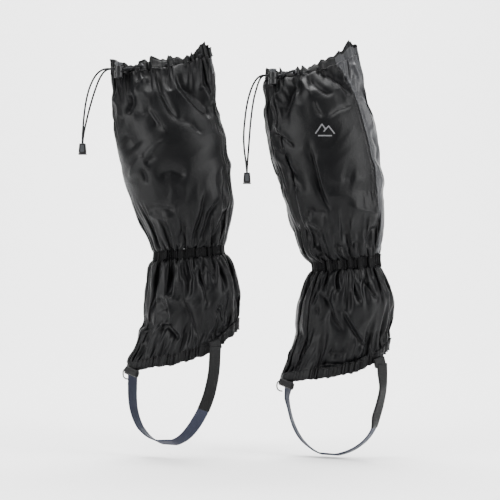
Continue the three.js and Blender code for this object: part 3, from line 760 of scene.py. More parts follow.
def trim_field(points, angle, trim):
    """Height of the front and back edges' own shapes, at points of those angles."""
    made = np.zeros(angle.shape)
    for edge, turn in (("front", 0), ("back", np.pi)):
        z, height = np.array(trim[edge], float).T
        near = smoothstep(np.cos(angle - turn) / 0.75)
        made += np.interp(points[..., 2], z, height, left=0, right=0) * near
    return made


def drape(leg, top, bottom, size, spec, folds, pleats):
    """The settled cloth between two bands: its points and the flat cloth's cell sizes, in millimetres."""
    rows, cols = size
    x = None
    for level, rounds in ROUNDS.items():
        rng = np.random.default_rng(spec["seed"])
        r, c = rows // level, cols // level
        station, angle, span = meridians(leg, top, bottom, r, c)
        base = leg(station, angle)
        out = normals(base)
        v = np.linspace(0, 1, r + 1)[:, None]
        above, below = v * span[None, :], (1 - v) * span[None, :]
        drawn, firm = fold_field(base, out, folds)
        drawn *= spec["drawn"]
        middle = smoothstep(above / 45) * smoothstep(below / 45)
        calm = 1 - 0.75 * firm / max(firm.max(), 1e-6)
        near = 1 - 0.6 * smoothstep((0.3 - out[..., 1]) / 0.6)
        goal = drawn + near * calm * middle * broad_folds(angle, above, spec, rng)
        goal += trim_field(base, angle, leg.spec["trim"])
        goal += calm * gathers(pleats[0], angle, above, rng, spec["gather"][0])
        goal += calm * gathers(pleats[1], angle, below, rng, spec["gather"][1])
        ends = [pleats[k].coarse(angle[0]) * spec["pleat"][k] + spec["tuck"][k] for k in (0, 1)]
        goal = np.clip(goal, -spec["deep"], spec["proud"])
        goal[0], goal[-1] = ends
        shaped = base + out * goal[..., None]
        around = np.linalg.norm(np.roll(shaped, -1, 1) - shaped, axis=-1).sum(1)
        base_round = np.linalg.norm(np.roll(base, -1, 1) - base, axis=-1).sum(1)
        width = np.maximum(around * 1.015, base_round.max() * spec["round"])
        rest_u = np.repeat((width / c)[:, None], c, axis=1)
        rest_v = np.repeat((span / r)[None, :], r, axis=0) * spec["down"]
        if x is None:
            x = shaped.copy()
        else:
            lift = resample(x - coarse_base, r, c)
            x = base + lift + out * (0.1 * rng.normal(size=base.shape[:2]))[..., None]
        x[0], x[-1] = shaped[0], shaped[-1]
        limits = (-spec["deep"] - 1.5, spec["proud"] + 1.0)
        hold = np.maximum(firm, spec["hold"])
        x = settle(x, base, out, rest_u, rest_v, limits, goal, hold, rounds)
        coarse_base = base
    return {"points": x, "rest_u": rest_u, "rest_v": rest_v}


# ---- panels -----------------------------------------------------------------------------------
def cubic_at(field, row, col):
    """Cubic interpolation of a grid field, periodic in its columns."""
    rows, cols = field.shape[:2]
    row = np.clip(row, 0, rows - 1)
    i = np.clip(np.floor(row).astype(int), 0, rows - 2)
    j = np.floor(col).astype(int)

    def weights(f):
        return (
            ((-0.5 * f + 1) * f - 0.5) * f, (1.5 * f - 2.5) * f * f + 1,
            ((-1.5 * f + 2) * f + 0.5) * f, (0.5 * f - 0.5) * f * f,
        )

    wr, wc = weights(row - i), weights(col - j)
    made = np.zeros((*row.shape, field.shape[2]))
    for a in range(4):
        line = np.clip(i + a - 1, 0, rows - 1)
        for b in range(4):
            made += (wr[a] * wc[b])[..., None] * field[line, (j + b - 1) % cols]
    return made


def seam_angle(spec, which, v):
    """A seam's angle in degrees at v from 0 to 1 down the zone, for the gaiter's own side."""
    top, low = which
    angle = top + (low - top) * v
    if top == SEAMS["rear_top"]:
        angle = angle - SEAM_SWEEP["angle"] * np.maximum(0, 1 - v / SEAM_SWEEP["share"]) ** 2
    return angle if spec["lateral"] < 0 else 360 - angle


def add_panel(name, spec, cloth, edges, material, steps, pleats):
    """A panel cut from the settled cloth between two seams, with its edges turned in."""
    points = cloth["points"]
    rows, cols = points.shape[0] - 1, points.shape[1]
    count = round(rows * 1.6)
    v = np.linspace(0, 1, count + 1)
    first, second = (seam_angle(spec, edge, v) for edge in edges)
    if spec["lateral"] > 0:
        first, second = second, first
    w = np.linspace(0, 1, steps + 1)
    angle = first[:, None] + (second - first)[:, None] * w[None, :]
    row = np.broadcast_to(v[:, None] * rows, angle.shape)
    made = cubic_at(points, row, angle * cols / 360)
    out = normals_open(made)
    span = (cloth["rest_v"].sum(0)).mean()
    radians = np.radians(angle)
    for band, far in zip(pleats, (v, 1 - v)):
        distance = (far * span)[:, None]
        reach = 9 * np.clip(band.at(radians, band.reach), 0.5, 2.2)
        made += out * (band.fine(radians) * 1.1 * np.exp(-distance / reach))[..., None]
    width = cloth["rest_u"].sum(1).mean() * (np.abs(second - first).mean() / 360)
    across = np.minimum(w, 1 - w) * width
    seam = 0.35 * smoothstep((5.5 - across) / 0.8) - 0.9 * np.exp(-((across / 0.9) ** 2))
    pucker = 0.22 * np.sin(v * span * 2 * np.pi / 5.3 + 2 * np.sin(v * 9))
    made += out * (seam[None, :] + pucker[:, None] * np.exp(-across / 4)[None, :])[..., None]
    inner = made - normals_open(made) * CLOTH_THICK
    uv = np.stack(np.broadcast_arrays(w[None, :] * width, (v * span)[:, None]), -1)
    return shell(name, made, inner, uv, material, (width, span))


def normals_open(points):
    return unit(np.cross(np.gradient(points, axis=0), np.gradient(points, axis=1)))


def shell(name, outer, inner, uv, material, flat, closed=False):
    """A closed thin sheet from its outer and inner grids of points, in millimetres."""
    rows, cols = outer.shape[:2]
    count = rows * cols
    faces = grid_faces(rows, cols, closed)
    back = faces[:, ::-1] + count
    rim = []
    for j in range(cols if closed else cols - 1):
        k = (j + 1) % cols
        low = (rows - 1) * cols
        rim.append((k, j, count + j, count + k))
        rim.append((low + j, low + k, count + low + k, count + low + j))
    if not closed:
        for a in range(0, (rows - 1) * cols, cols):
            b = a + cols
            rim.append((a, b, count + b, count + a))
            rim.append((b + cols - 1, a + cols - 1, count + a + cols - 1, count + b + cols - 1))
    verts = np.concatenate([outer.reshape(-1, 3), inner.reshape(-1, 3)])
    uvs = np.concatenate([uv.reshape(-1, 2)] * 2)
    obj = make_mesh(name, verts * MM, np.concatenate([faces, back, rim]), uvs * MM, material)
    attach(obj, "gaiters")
    obj["flat"] = [side * MM for side in flat]
    return obj


def add_band(name, leg, band, pleats, spec, material, rear=None):
    """A gathered casing: a folded strip round the leg, open towards the leg where its edges are sewn."""
    cols = 16 * (round(pleats.count * spec["finer"]) // 2)
    angle = turns(cols)
    degrees = np.degrees(angle)
    point, out, down = leg.frame(band["station"], angle)
    still = 1 - spec["calm"] * np.exp(-(((degrees - HOOK_SIDE["angle"]) / HOOK_SIDE["half"]) ** 4))
    lift = np.zeros(cols)
    for place, half, rise in spec["pads"]:
        near = np.exp(-(((degrees - place) / half) ** 4))
        lift += rise * near
        still *= 1 - 0.8 * near
    crest = pleats.fine(angle) + spec["small"] * pleats.fine(angle, spec["finer"])
    crest = np.clip(crest, -2.2, 1.1) * still
    slow = pleats.coarse(angle) * still
    height = np.linspace(-1, 1, 21)
    stitch = np.exp(-(((np.abs(height) - 0.74) / 0.11) ** 2))
    puff = np.sqrt(np.maximum(0, 1 - (height / 1.04) ** 6))
    drift = pleats.at(angle, pleats.reach - 1) * still
    top = band["half"] + spec["frill"](degrees) + spec["ragged"] * (0.7 * slow + 0.4 * crest + drift)
    low = band["half"] + spec["ragged"] * (0.5 * slow - 0.4 * crest - 0.7 * drift)
    z = height[:, None] * np.where(height[:, None] < 0, top[None, :], low[None, :])
    r = BAND_PROUD - 0.2 + spec["bulge"] * puff[:, None] - spec["stitch"] * stitch[:, None]
    flare = 1 + spec["flare"] * np.abs(height[:, None]) ** 2
    r = r + (spec["crest"] * crest[None, :] + spec["slow"] * slow[None, :]) * flare + lift[None, :]
    outer = point[None] + out[None] * r[..., None] + down[None] * z[..., None]
    inner_r = r - spec["deep"] * puff[:, None] - CLOTH_THICK
    inner = point[None] + out[None] * inner_r[..., None] + down[None] * (z * 0.985)[..., None]
    round_it = LET_OUT * pleats.length
    length = pleats.at(angle, np.linspace(0, round_it, len(pleats.angles)))
    uv = np.stack(np.broadcast_arrays(length[None, :], z), -1)
    flat = (round_it, 2.6 * band["half"])
    piece = shell(name, outer, inner, uv, material, flat, closed=True)
    if rear:
        paint_rear(piece, rear, spec["rear"], height, cols)
    return piece


def paint_rear(piece, material, angles, height, cols):
    """Greys the casing below its rim where the rear panel is, with the rear panel's cloth and its painted
    sheen: it is folded from the panels' top edges.
    """
    piece.data.materials.append(material)
    low, high = (round(a / 360 * cols) for a in angles)
    rows = len(height)
    for face in piece.data.polygons:
        places = [v % (rows * cols) for v in face.vertices]
        column = min(p % cols for p in places)
        if low <= column < high and height[min(p // cols for p in places)] > -0.55:
            face.material_index = 1


# ---- fittings ---------------------------------------------------------------------------------
def lathe(profile, sides):
    """A closed solid of revolution about Z from [radius, height] rows that start and end on the axis."""
    profile = np.array(profile, float)
    ring = np.stack([np.cos(turns(sides)), np.sin(turns(sides))], -1)
    rings = [np.concatenate([ring * r, np.full((sides, 1), z)], 1) for r, z in profile[1:-1]]
    verts = np.concatenate([*rings, [[0, 0, profile[0, 1]]], [[0, 0, profile[-1, 1]]]])
    count = len(verts) - 2
    faces = grid_faces(len(rings), sides, closed=True).tolist()
    faces += fan(list(range(sides)), count)
    faces += fan(list(range(count - 1, count - 1 - sides, -1)), count + 1)
    return verts, faces


def rounded(profile, radius, steps=4):
    """Rounds every inner corner of a profile."""
    profile = [np.array(p, float) for p in profile]
    made = [profile[0]]
    for a, b, c in zip(profile, profile[1:], profile[2:]):
        r = min(radius, np.linalg.norm(a - b) / 2.2, np.linalg.norm(c - b) / 2.2)
        start, end = b + unit(a - b) * r, b + unit(c - b) * r
        for t in np.linspace(0, 1, steps):
            made.append((1 - t) ** 2 * start + 2 * t * (1 - t) * b + t * t * end)
    return [*made, profile[-1]]


def placed(points, matrix):
    """Points in millimetres about a piece's own origin, put in their place, in metres."""
    matrix = np.array(matrix, float)
    return (np.asarray(points, float) @ matrix[:3, :3].T + matrix[:3, 3]) * MM


def fitting(name, verts, faces, matrix, material, body, node, bevel=0.0):
    """A hard piece made in millimetres about its own origin, then placed."""
    uv = np.asarray(verts, float)[:, [0, 2]] * MM
    obj = make_mesh(name, placed(verts, matrix), faces, uv, material)
    if bevel:
        made = obj.modifiers.new("bevel", "BEVEL")
        made.width = bevel * MM
        made.segments = 3
        made.limit_method = "ANGLE"
        made.angle_limit = BEVEL_FROM
    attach(obj, body)
    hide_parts(node)
    return obj


def carve(obj, size, centre):
    """Cuts a box out of a piece, in millimetres."""
    verts, faces = stack([(x, y, z) for z in (-1, 1) for x, y in RECT])
    tool = make_mesh("tool", (verts * size / 2 + centre) * MM, faces, smooth=False)
    made = obj.modifiers.new("cut", "BOOLEAN")
    made.operation = "DIFFERENCE"
    made.solver = "EXACT"
    made.object = tool
    bpy.context.view_layer.update()
    done = obj.evaluated_get(bpy.context.evaluated_depsgraph_get())
    mesh = bpy.data.meshes.new_from_object(done)
    obj.modifiers.clear()
    obj.data = mesh
    bpy.data.objects.remove(tool)


def at(centre, yaw=0.0, tilt=0.0):
    turn = Matrix.Rotation(math.radians(yaw), 4, "Z") @ Matrix.Rotation(math.radians(tilt), 4, "Y")
    return Matrix.Translation(centre) @ turn


def add_cord_lock(prefix, spec, looks):
    """Barrel, sprung button and spring, about the point where the cords cross them."""
    x, y, z = spec["lock"]
    slot = CORD_D / MM + SLOT_ROOM
    shell_profile = [
        (0, -11), (5.4, -11), (5.4, -4.6), (4.95, -4.2),
        (4.95, -3.6), (5.4, -3.2), (5.4, 2.2), (5.15, 3.5),
        (4.1, 3.5), (4.1, -9.6), (0, -9.6),
    ]
    button_profile = [
        (0, -2.2), (3.8, -2.2), (3.8, 5.8), (4.6, 5.8), (4.6, 8.3), (3.2, 8.3), (2.4, 8.0), (0, 7.9),
    ]
    made = []
    # the button's slot is taller by its travel
    for name, profile, sides, look, body, node, travel in (
        ("lock_barrel_shell", shell_profile, 56, "plastic", "cord_lock", "cord_lock_barrel", 0),
        ("lock_button", button_profile, 48, "plastic_light", "lock_plunger", "cord_lock_plunger", 2),
    ):
        verts, faces = lathe(rounded(profile, 0.7), sides)
        piece = fitting(
            f"{prefix}_{name}", verts, faces, at((x, y, z)), looks[look], f"{prefix}_{body}",
            f"{prefix}_{node}",
        )
        carve(piece, (24, CORDS_APART + slot, slot + travel), (x, y, z + travel / 2))
        made.append(piece)
    paint_node(f"{prefix}_cord_lock_spring", looks["steel"])
    return made


def paint_node(name, material):
    """Gives a carried-over CAD node its material."""
    node = next(o for o in bpy.context.scene.objects if o.get("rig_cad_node") == name)
    node.data.materials.clear()
    node.data.materials.append(material)


def add_cord_end(prefix, spec, looks):
    """A tapered end shell with a paler face panel, and its clip-in plug."""
    x, y, z = spec["cord_end"]
    base = z - 6
    slot = CORD_D / MM + SLOT_ROOM
    cover_rows = [(4.7, 4.1, 0), (4.6, 4.0, 3), (4.1, 3.95, 9), (3.8, 3.9, 12)]
    cap_rows = [(5.1, 4.4, -2.1), (5.1, 4.4, -0.3)]
    made = []
    for name, rows, node, bevel in (
        ("cord_end_cover", cover_rows, "cord_end_shell", 0.9),
        ("cord_end_cap", cap_rows, "cord_end_plug", 0.7),
    ):
        verts, faces = stack([(a * wide, b * deep, height) for wide, deep, height in rows for a, b in RECT])
        made.append(fitting(
            f"{prefix}_{name}", verts, faces, at((x, y, base)), looks["plastic"], "gaiters",
            f"{prefix}_{node}", bevel,
        ))
    cover, cap = made
    carve(cover, (slot, CORDS_APART + slot, 6), (x, y, base + 12))
    front = [(-2.2, -4.45, 1.5), (2.2, -4.45, 1.5), (1.9, -4.35, 10), (-1.9, -4.35, 10)]
    verts, faces = stack(front + [(px, -3.7, pz) for px, _, pz in front])
    verts = (verts + (x, y, base)) * MM
    light = looks["plastic_light"]
    plate = make_mesh(f"{prefix}_cord_end_face", verts, faces, material=light, smooth=False)
    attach(plate, "gaiters")
    return cover, plate, cap


def add_eyelets(prefix, leg, looks):
    """Rolled eyelets in the flat places of the cuff where the drawcord comes out."""
    around, across = EYELET["around"], EYELET["across"]
    ring = []
    faces = []
    for i, a in enumerate(turns(around)):
        for j, b in enumerate(turns(across)):
            r = EYELET["ring"] + EYELET["half_wide"] * math.cos(b)
            height = EYELET["lift"] + EYELET["half_thick"] * math.sin(b)
            ring.append((r * math.cos(a), r * math.sin(a), height))
            k, m = (i + 1) % around, (j + 1) % across
            faces.append([i * across + j, k * across + j, k * across + m, i * across + m])
    for name, facet in (("front", 3), ("rear", 4)):
        point, out, _ = leg.frame(CUFF["station"], turns(24)[facet:facet + 2])
        turn = UP_AXIS.rotation_difference(Vector(unit(out.sum(0)))).to_matrix().to_4x4()
        matrix = Matrix.Translation(point.mean(0)) @ turn
        node = f"{prefix}_eyelet_{name}"
        fitting(f"{prefix}_eyelet_ring_{name}", ring, faces, matrix, looks["steel"], "gaiters", node)


def bar_points(thick, height, steps):
    """The outline of a rounded bar, tall along Z."""
    r = thick / 2
    straight = height / 2 - r
    up = [(r * math.cos(a), straight + r * math.sin(a)) for a in np.linspace(0, math.pi, steps)]
    down = [(r * math.cos(a), -straight + r * math.sin(a)) for a in np.linspace(math.pi, 2 * math.pi, steps)]
    return up + down


def add_roll(name, node, centre, size, looks):
    """Webbing folded and rolled flat: a rounded bar whose ends show its layers."""
    length, layers = size["length"], size["layers"]
    outline = np.array(bar_points(size["thick"], size["height"], 14))
    rows = np.linspace(-length / 2, length / 2, 24)
    verts = []
    for x in rows:
        edge = 1 - 0.05 * smoothstep((abs(x) - length / 2 + 1.2) / 1.2)
        for y, z in outline * edge:
            verts.append((x, y + 0.0216 * math.sin(x * 1.7), z + 0.12 * math.sin(x * 2.3 + y)))
    n = len(outline)
    faces = grid_faces(len(rows), n, closed=True).tolist()
    for end, depth in ((0, 1), (len(rows) - 1, -1)):
        ring = list(range(end * n, end * n + n))
        for layer in range(1, layers * 2):
            push = 0.35 * (layer % 2) * depth
            fresh = list(range(len(verts), len(verts) + n))
            for y, z in outline * (1 - layer / (layers * 2 + 1)):
                verts.append((rows[end] + push, y, z))
            for j in range(n):
                k = (j + 1) % n
                face = [ring[j], ring[k], fresh[k], fresh[j]]
                faces.append(face[::-1] if depth > 0 else face)
            ring = fresh
        faces.append(ring if depth > 0 else ring[::-1])
    matrix = at(centre, size["yaw"], size["tilt"])
    fitting(name, verts, faces, matrix, looks["webbing"], "gaiters", node)


def add_hook(prefix, spec, looks):
    """The bent wire that hooks on a boot lace. It turns in the toe loop."""
    wire = [
        (9, 0), (3, 0), (0, 0), (-3, 0), (-10, 0), (-12.4, -0.6), (-13.6, -3), (-13.4, -7),
        (-11.4, -10.2), (-8, -11.2), (-4, -10.6),
    ]
    path = catmull([(x, 0, z) for x, z in wire], np.linspace(0, 1, 70))
    path = placed(path, at(spec["roll"], ROLL["yaw"], ROLL["tilt"]))
    hook = tube(f"{prefix}_hook_wire", path, HOOK_WIRE * MM, 20, looks["steel"], f"{prefix}_hook")
    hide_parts(f"{prefix}_lace_hook")


def strap_path(spec):
    """Centres, width directions and tangents down the strap."""
    route = np.array(spec["strap"], float)
    head, tail = spec["strap_head"], spec["strap_tail"]
    y = head[1] + (tail[1] - head[1]) * (route[:, 0] - head[0]) / (tail[0] - head[0])
    points = np.stack([route[:, 0], y, route[:, 1]], -1)
    flat = unit(np.array([head[1] - tail[1], tail[0] - head[0], 0.0]))
    t = np.linspace(0, 1, STRAP_ROWS)
    centre = catmull(points, t)
    centre[:, 2] = np.maximum(centre[:, 2], route[:, 1].min())
    turn = np.radians(np.stack([route[:, 2], route[:, 2] + spec["strap_turn"]], -1))
    cad_turn, turn = catmull(turn, t).T
    tangent = unit(np.gradient(centre, axis=0))
    # the strap's outer edge stays where the CAD's is
    shift = STRAP_WIDTH / 2 * (np.abs(np.sin(turn)) - np.abs(np.sin(cad_turn)))
    centre = centre + unit(np.cross(tangent, flat)) * shift[:, None]
    tangent = unit(np.gradient(centre, axis=0))
    side = flat * np.cos(turn)[:, None] + np.cross(tangent, flat) * np.sin(turn)[:, None]
    side += tangent * ((tangent @ flat) * (1 - np.cos(turn)))[:, None]
    return centre, unit(side), tangent


def add_strap(prefix, spec, looks):
    """The instep strap: flat webbing with rounded edges and a fine rib, its ends carried into the tabs."""
    centre, side, tangent = strap_path(spec)
    top = centre[0] - tangent[0] * np.array([9.0, 4.5])[:, None]
    low = centre[-1] + tangent[-1] * np.array([5.0, 10.0])[:, None]
    centre = np.concatenate([top, centre, low])
    side, tangent = (np.pad(rows, ((2, 2), (0, 0)), mode="edge") for rows in (side, tangent))
    face = unit(np.cross(tangent, side))
    share = (np.arange(len(centre)) - 2) / (STRAP_ROWS - 1)
    doubled = smoothstep((share - STRAP_DOUBLED) / 0.006)[:, None]
    half = np.linspace(-1, 1, 17)
    # across one face and back over the other, without the second one's ends, which the first one has
    across = np.concatenate([half, half[::-1]])
    thick = np.repeat([1.0, -1.0], len(half)) * np.sqrt(np.maximum(0.0, 1 - np.abs(across) ** 14)) * 0.98
    across, thick = (np.delete(rows, (len(half), 2 * len(half) - 1)) for rows in (across, thick))
    rib = 1 + 0.02 * np.cos(across * 22)
    wide = STRAP_WIDTH / 2 * across * (1 + 0.05 * doubled)
    deep = STRAP_THICK / 2 * thick * rib * (1 + 0.7 * doubled)
    ring = centre[:, None] + side[:, None] * wide[..., None] + face[:, None] * deep[..., None]
    rows, cols = ring.shape[:2]
    length = distances(centre)
    uv = np.stack(np.broadcast_arrays(STRAP_WIDTH / 2 * across[None, :], length[:, None]), -1)
    faces = grid_faces(rows, cols, closed=True).tolist()
    faces += [list(range(cols))[::-1], list(range((rows - 1) * cols, rows * cols))]
    verts, uvs = ring.reshape(-1, 3) * MM, uv.reshape(-1, 2) * MM
    obj = make_mesh(f"{prefix}_strap_webbing", verts, faces, uvs, looks["strap"])
    obj.data.materials.append(looks["webbing"])
    black_from = np.argmax(doubled > 0.01)
    for face in obj.data.polygons:
        if min(face.vertices) // cols >= black_from:
            face.material_index = 1
    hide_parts(f"{prefix}_instep_strap")
    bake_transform(obj)


# ---- cords ------------------------------------------------------------------------------------
def add_cords(prefix, spec, looks):
    made = []
    for name, route in spec["cords"].items():
        points = [(x, y, z) for x, z, y in route]
        path = catmull(points, np.linspace(0, 1, 220)) * MM
        cord = tube(f"{prefix}_drawcord_{name}", path, CORD_D / 2, 16, looks["cord"], "gaiters")
        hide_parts(f"{prefix}_cord_tail_{name}")
        made.append((cord, path))
    return made


# ---- the printed mark -------------------------------------------------------------------------
def add_mark(looks, panel):
    """A plain line drawing of two hills, printed on the outer side of the left gaiter."""
    lines = [[(-11, -5), (-3.5, 6), (0.6, 0.2)], [(-1.6, -2.8), (4.2, 4), (11, -5)], [(-8, -7.4), (8, -7.4)]]
    centre = (104.5, 403.0)
    tree = BVHTree.FromObject(panel, bpy.context.evaluated_depsgraph_get())
    verts, faces = [], []

    def drop(x, z):
        hit, normal, _, _ = tree.ray_cast(Vector((x * MM, -0.3, z * MM)), Vector((0, 1, 0)))
        return tuple(hit + normal * 0.00012)

    for line in lines:
        line = np.array(line, float) * 1.05
        length = distances(line)
        steps = np.arange(0, length[-1] + 0.3, 0.35)
        track = np.stack([np.interp(steps, length, line[:, k]) for k in (0, 1)], -1)
        along = unit(np.gradient(track, axis=0))
        start = len(verts)
        for p, (dx, dz) in zip(track, along):
            for w in (-0.75, -0.25, 0.25, 0.75):
                verts.append(drop(centre[0] + p[0] - dz * w, centre[1] + p[1] + dx * w))
        faces += (grid_faces(len(track), 4) + start).tolist()
    mark = make_mesh("left_printed_mark", verts, faces, material=looks["ink"])
    made = mark.modifiers.new("thick", "SOLIDIFY")
    made.thickness = 0.0001
    made.offset = 1
    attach(mark, "gaiters")


# ---- stage ------------------------------------------------------------------------------------
def add_stage():
    """A pale floor that sweeps up behind, and soft lights on both sides."""
    rows = [(y, -0.002) for y in (-3.0, -1.5, 0, 1.5)]
    for a in np.linspace(0.1, math.pi / 2, 14):
        rows.append((1.5 + 1.2 * math.sin(a), 1.2 - 1.2 * math.cos(a) - 0.002))
    rows += [(2.7, 3.5)]
    verts = [(x, y, z) for y, z in rows for x in (-4.0, 4.0)]
    faces = [[2 * i, 2 * i + 1, 2 * i + 3, 2 * i + 2] for i in range(len(rows) - 1)]
    paper = Look("paper", (0.9, 0.9, 0.9), 0.9)
    paper.shade(paper.noise(paper.place(), 3), 0.995, 1.005)
    floor = make_mesh("backdrop", verts, faces, material=paper.material)
    world = bpy.data.worlds.new("world")
    world.use_nodes = True
    sky = world.node_tree.nodes["Background"]
    sky.inputs["Color"].default_value = (1, 1, 1, 1)
    sky.inputs["Strength"].default_value = 0.3
    bpy.context.scene.world = world
    for name, place, aim, size, power in (
        ("left_softbox", (-1.5, -0.9, 0.8), (0, 0, 0.28), (0.6, 1.4), 54),
        ("right_softbox", (1.6, -0.8, 0.9), (0, 0, 0.28), (0.6, 1.4), 62),
        ("top_softbox", (0.0, 0.1, 2.4), (0, 0.4, 0), (2.0, 1.4), 90),
        ("backdrop_light", (0.0, 1.2, 2.8), (0, 2.6, 0.6), (3.0, 1.0), 220),
    ):
        data = bpy.data.lights.new(name, "AREA")
        data.shape = "RECTANGLE"
        data.size, data.size_y = size
        data.energy = power
        lamp = bpy.data.objects.new(name, data)
        lamp.location = place
        lamp.rotation_euler = (Vector(aim) - Vector(place)).to_track_quat("-Z", "Y").to_euler()
        bpy.context.scene.collection.objects.link(lamp)


# ---- build ------------------------------------------------------------------------------------
UPPER = {"right": {"seed": 11, "lean": 0.10}, "left": {"seed": 12, "lean": 0.08}}
LOWER = {"right": {"seed": 21, "lean": 0.12}, "left": {"seed": 22, "lean": 0.12}}
SHARED = {"deep": 9, "proud": 4.5, "down": 1.01, "hold": 0.05, "drawn": 1.35}
# drawn folds: a line of (x, z) in millimetres, its half width, its height or depth, and how firmly it holds
UPPER_FOLDS = {
    "right": [
        ([(-105, 487), (-99, 463), (-95, 448), (-86, 432), (-76, 419), (-69, 412)], 4.5, -4.5, 0.35),
        ([(-89, 479), (-88, 463), (-82, 451)], 2.2, -2.5, 0.35),
        ([(-85, 478), (-76, 454), (-61, 438), (-45, 426), (-31, 414)], 4, 2.6, 0.3),
        ([(-78, 472), (-61, 454), (-45, 439), (-29, 421)], 7, -6, 0.4),
        ([(-74, 419), (-56, 413), (-41, 397)], 5, -2.2, 0.3),
        ([(-45, 464), (-36, 449), (-31, 437)], 5, 3, 0.3),
        ([(-149, 402), (-134, 394), (-124, 379)], 13, -3.5, 0.25),
        ([(-129, 418), (-111, 426), (-101, 412), (-104, 399)], 6, -2.2, 0.25),
        ([(-108, 431), (-96, 414), (-86, 397)], 2.4, 2.2, 0.35),
        ([(-85, 393), (-101, 382), (-114, 369), (-128, 354), (-135, 344)], 4.5, 4.5, 0.35),
        ([(-101, 349), (-81, 354), (-61, 346)], 8, -3.6, 0.3),
        ([(-118, 360), (-111, 339)], 3, -2.2, 0.4),
        ([(-120, 374), (-110, 366), (-100, 372)], 3, -2.2, 0.4),
        ([(-123, 369), (-117, 361), (-106, 356)], 2.6, 2.4, 0.4),
        ([(-110, 302), (-92, 298), (-76, 297)], 5, 2.6, 0.3),
        ([(-111, 311), (-92, 309), (-76, 306)], 3, -2, 0.3),
        ([(-158, 454), (-146, 434), (-139, 417)], 5, 3, 0.3),
        ([(-132, 451), (-130, 437), (-135, 422)], 3, -2.6, 0.3),
        ([(-111, 472), (-124, 462), (-129, 449)], 3.5, 2.4, 0.3),
        ([(-39, 332), (-44, 304), (-54, 274), (-56, 259)], 3, -3, 0.3),
        ([(-21, 324), (-34, 302), (-44, 274), (-45, 259)], 3, -3, 0.3),
        ([(-12, 313), (-22, 292), (-31, 272), (-34, 259)], 2.6, -2.6, 0.3),
        ([(-66, 292), (-71, 274), (-72, 259)], 3, -2.4, 0.3),
        ([(-20, 363), (-16, 344), (-19, 322)], 2.5, -2, 0.3),
    ],
    "left": [
        ([(68, 476), (69, 459), (62, 447), (58, 434), (55, 419)], 4.5, -4.5, 0.35),
        ([(76, 469), (82, 454), (90, 443)], 3.5, 2.6, 0.3),
        ([(91, 441), (96, 429), (102, 418)], 2, -2, 0.3),
        ([(82, 476), (91, 463), (101, 454), (110, 449), (119, 451)], 3, -3.4, 0.35),
        ([(92, 489), (99, 478), (114, 472), (129, 462), (138, 447)], 3.4, -4.2, 0.4),
        ([(141, 436), (121, 428), (108, 418)], 2.4, -1.6, 0.3),
        ([(52, 457), (44, 448), (39, 432)], 4, 3, 0.3),
        ([(41, 419), (49, 404), (65, 386)], 3, 2.6, 0.3),
        ([(41, 402), (54, 393), (66, 382)], 2.6, -2.8, 0.35),
        (
            [(36, 386), (55, 372), (60, 354), (64, 341), (66, 324), (72, 294), (81, 278), (90, 266)],
            3, -3.4, 0.35,
        ),
        ([(61, 347), (72, 332)], 2, 1.8, 0.3),
        ([(84, 394), (86, 376), (91, 362), (95, 344), (99, 329), (104, 317), (112, 304)], 3, -3.8, 0.4),
        ([(90, 372), (99, 344), (108, 324)], 4, 2.4, 0.3),
        ([(80, 311), (91, 303), (108, 303)], 4, -2.4, 0.3),
        ([(81, 297), (94, 287), (106, 279)], 8, 3.4, 0.3),
        ([(132, 312), (154, 306), (175, 302)], 7, 3, 0.3),
        ([(121, 274), (141, 279), (161, 287)], 10, -2.8, 0.25),
        ([(126, 347), (141, 344)], 10, -1.8, 0.2),
        ([(164, 254), (162, 269), (165, 282), (174, 287)], 3, -3, 0.35),
        ([(115, 254), (119, 262), (132, 259), (144, 266), (154, 264)], 3, -2.6, 0.3),
        ([(99, 249), (91, 262)], 3, 2, 0.3),
        ([(138, 492), (148, 474), (152, 455)], 5, 3.5, 0.35),
        ([(153, 470), (161, 448), (163, 425)], 4, -3.5, 0.35),
        ([(146, 452), (158, 430), (166, 404)], 4, 3, 0.35),
        ([(163, 408), (174, 385), (173, 360)], 4, -3, 0.35),
        ([(165, 372), (176, 345), (174, 318)], 4, 2.6, 0.3),
    ],
}
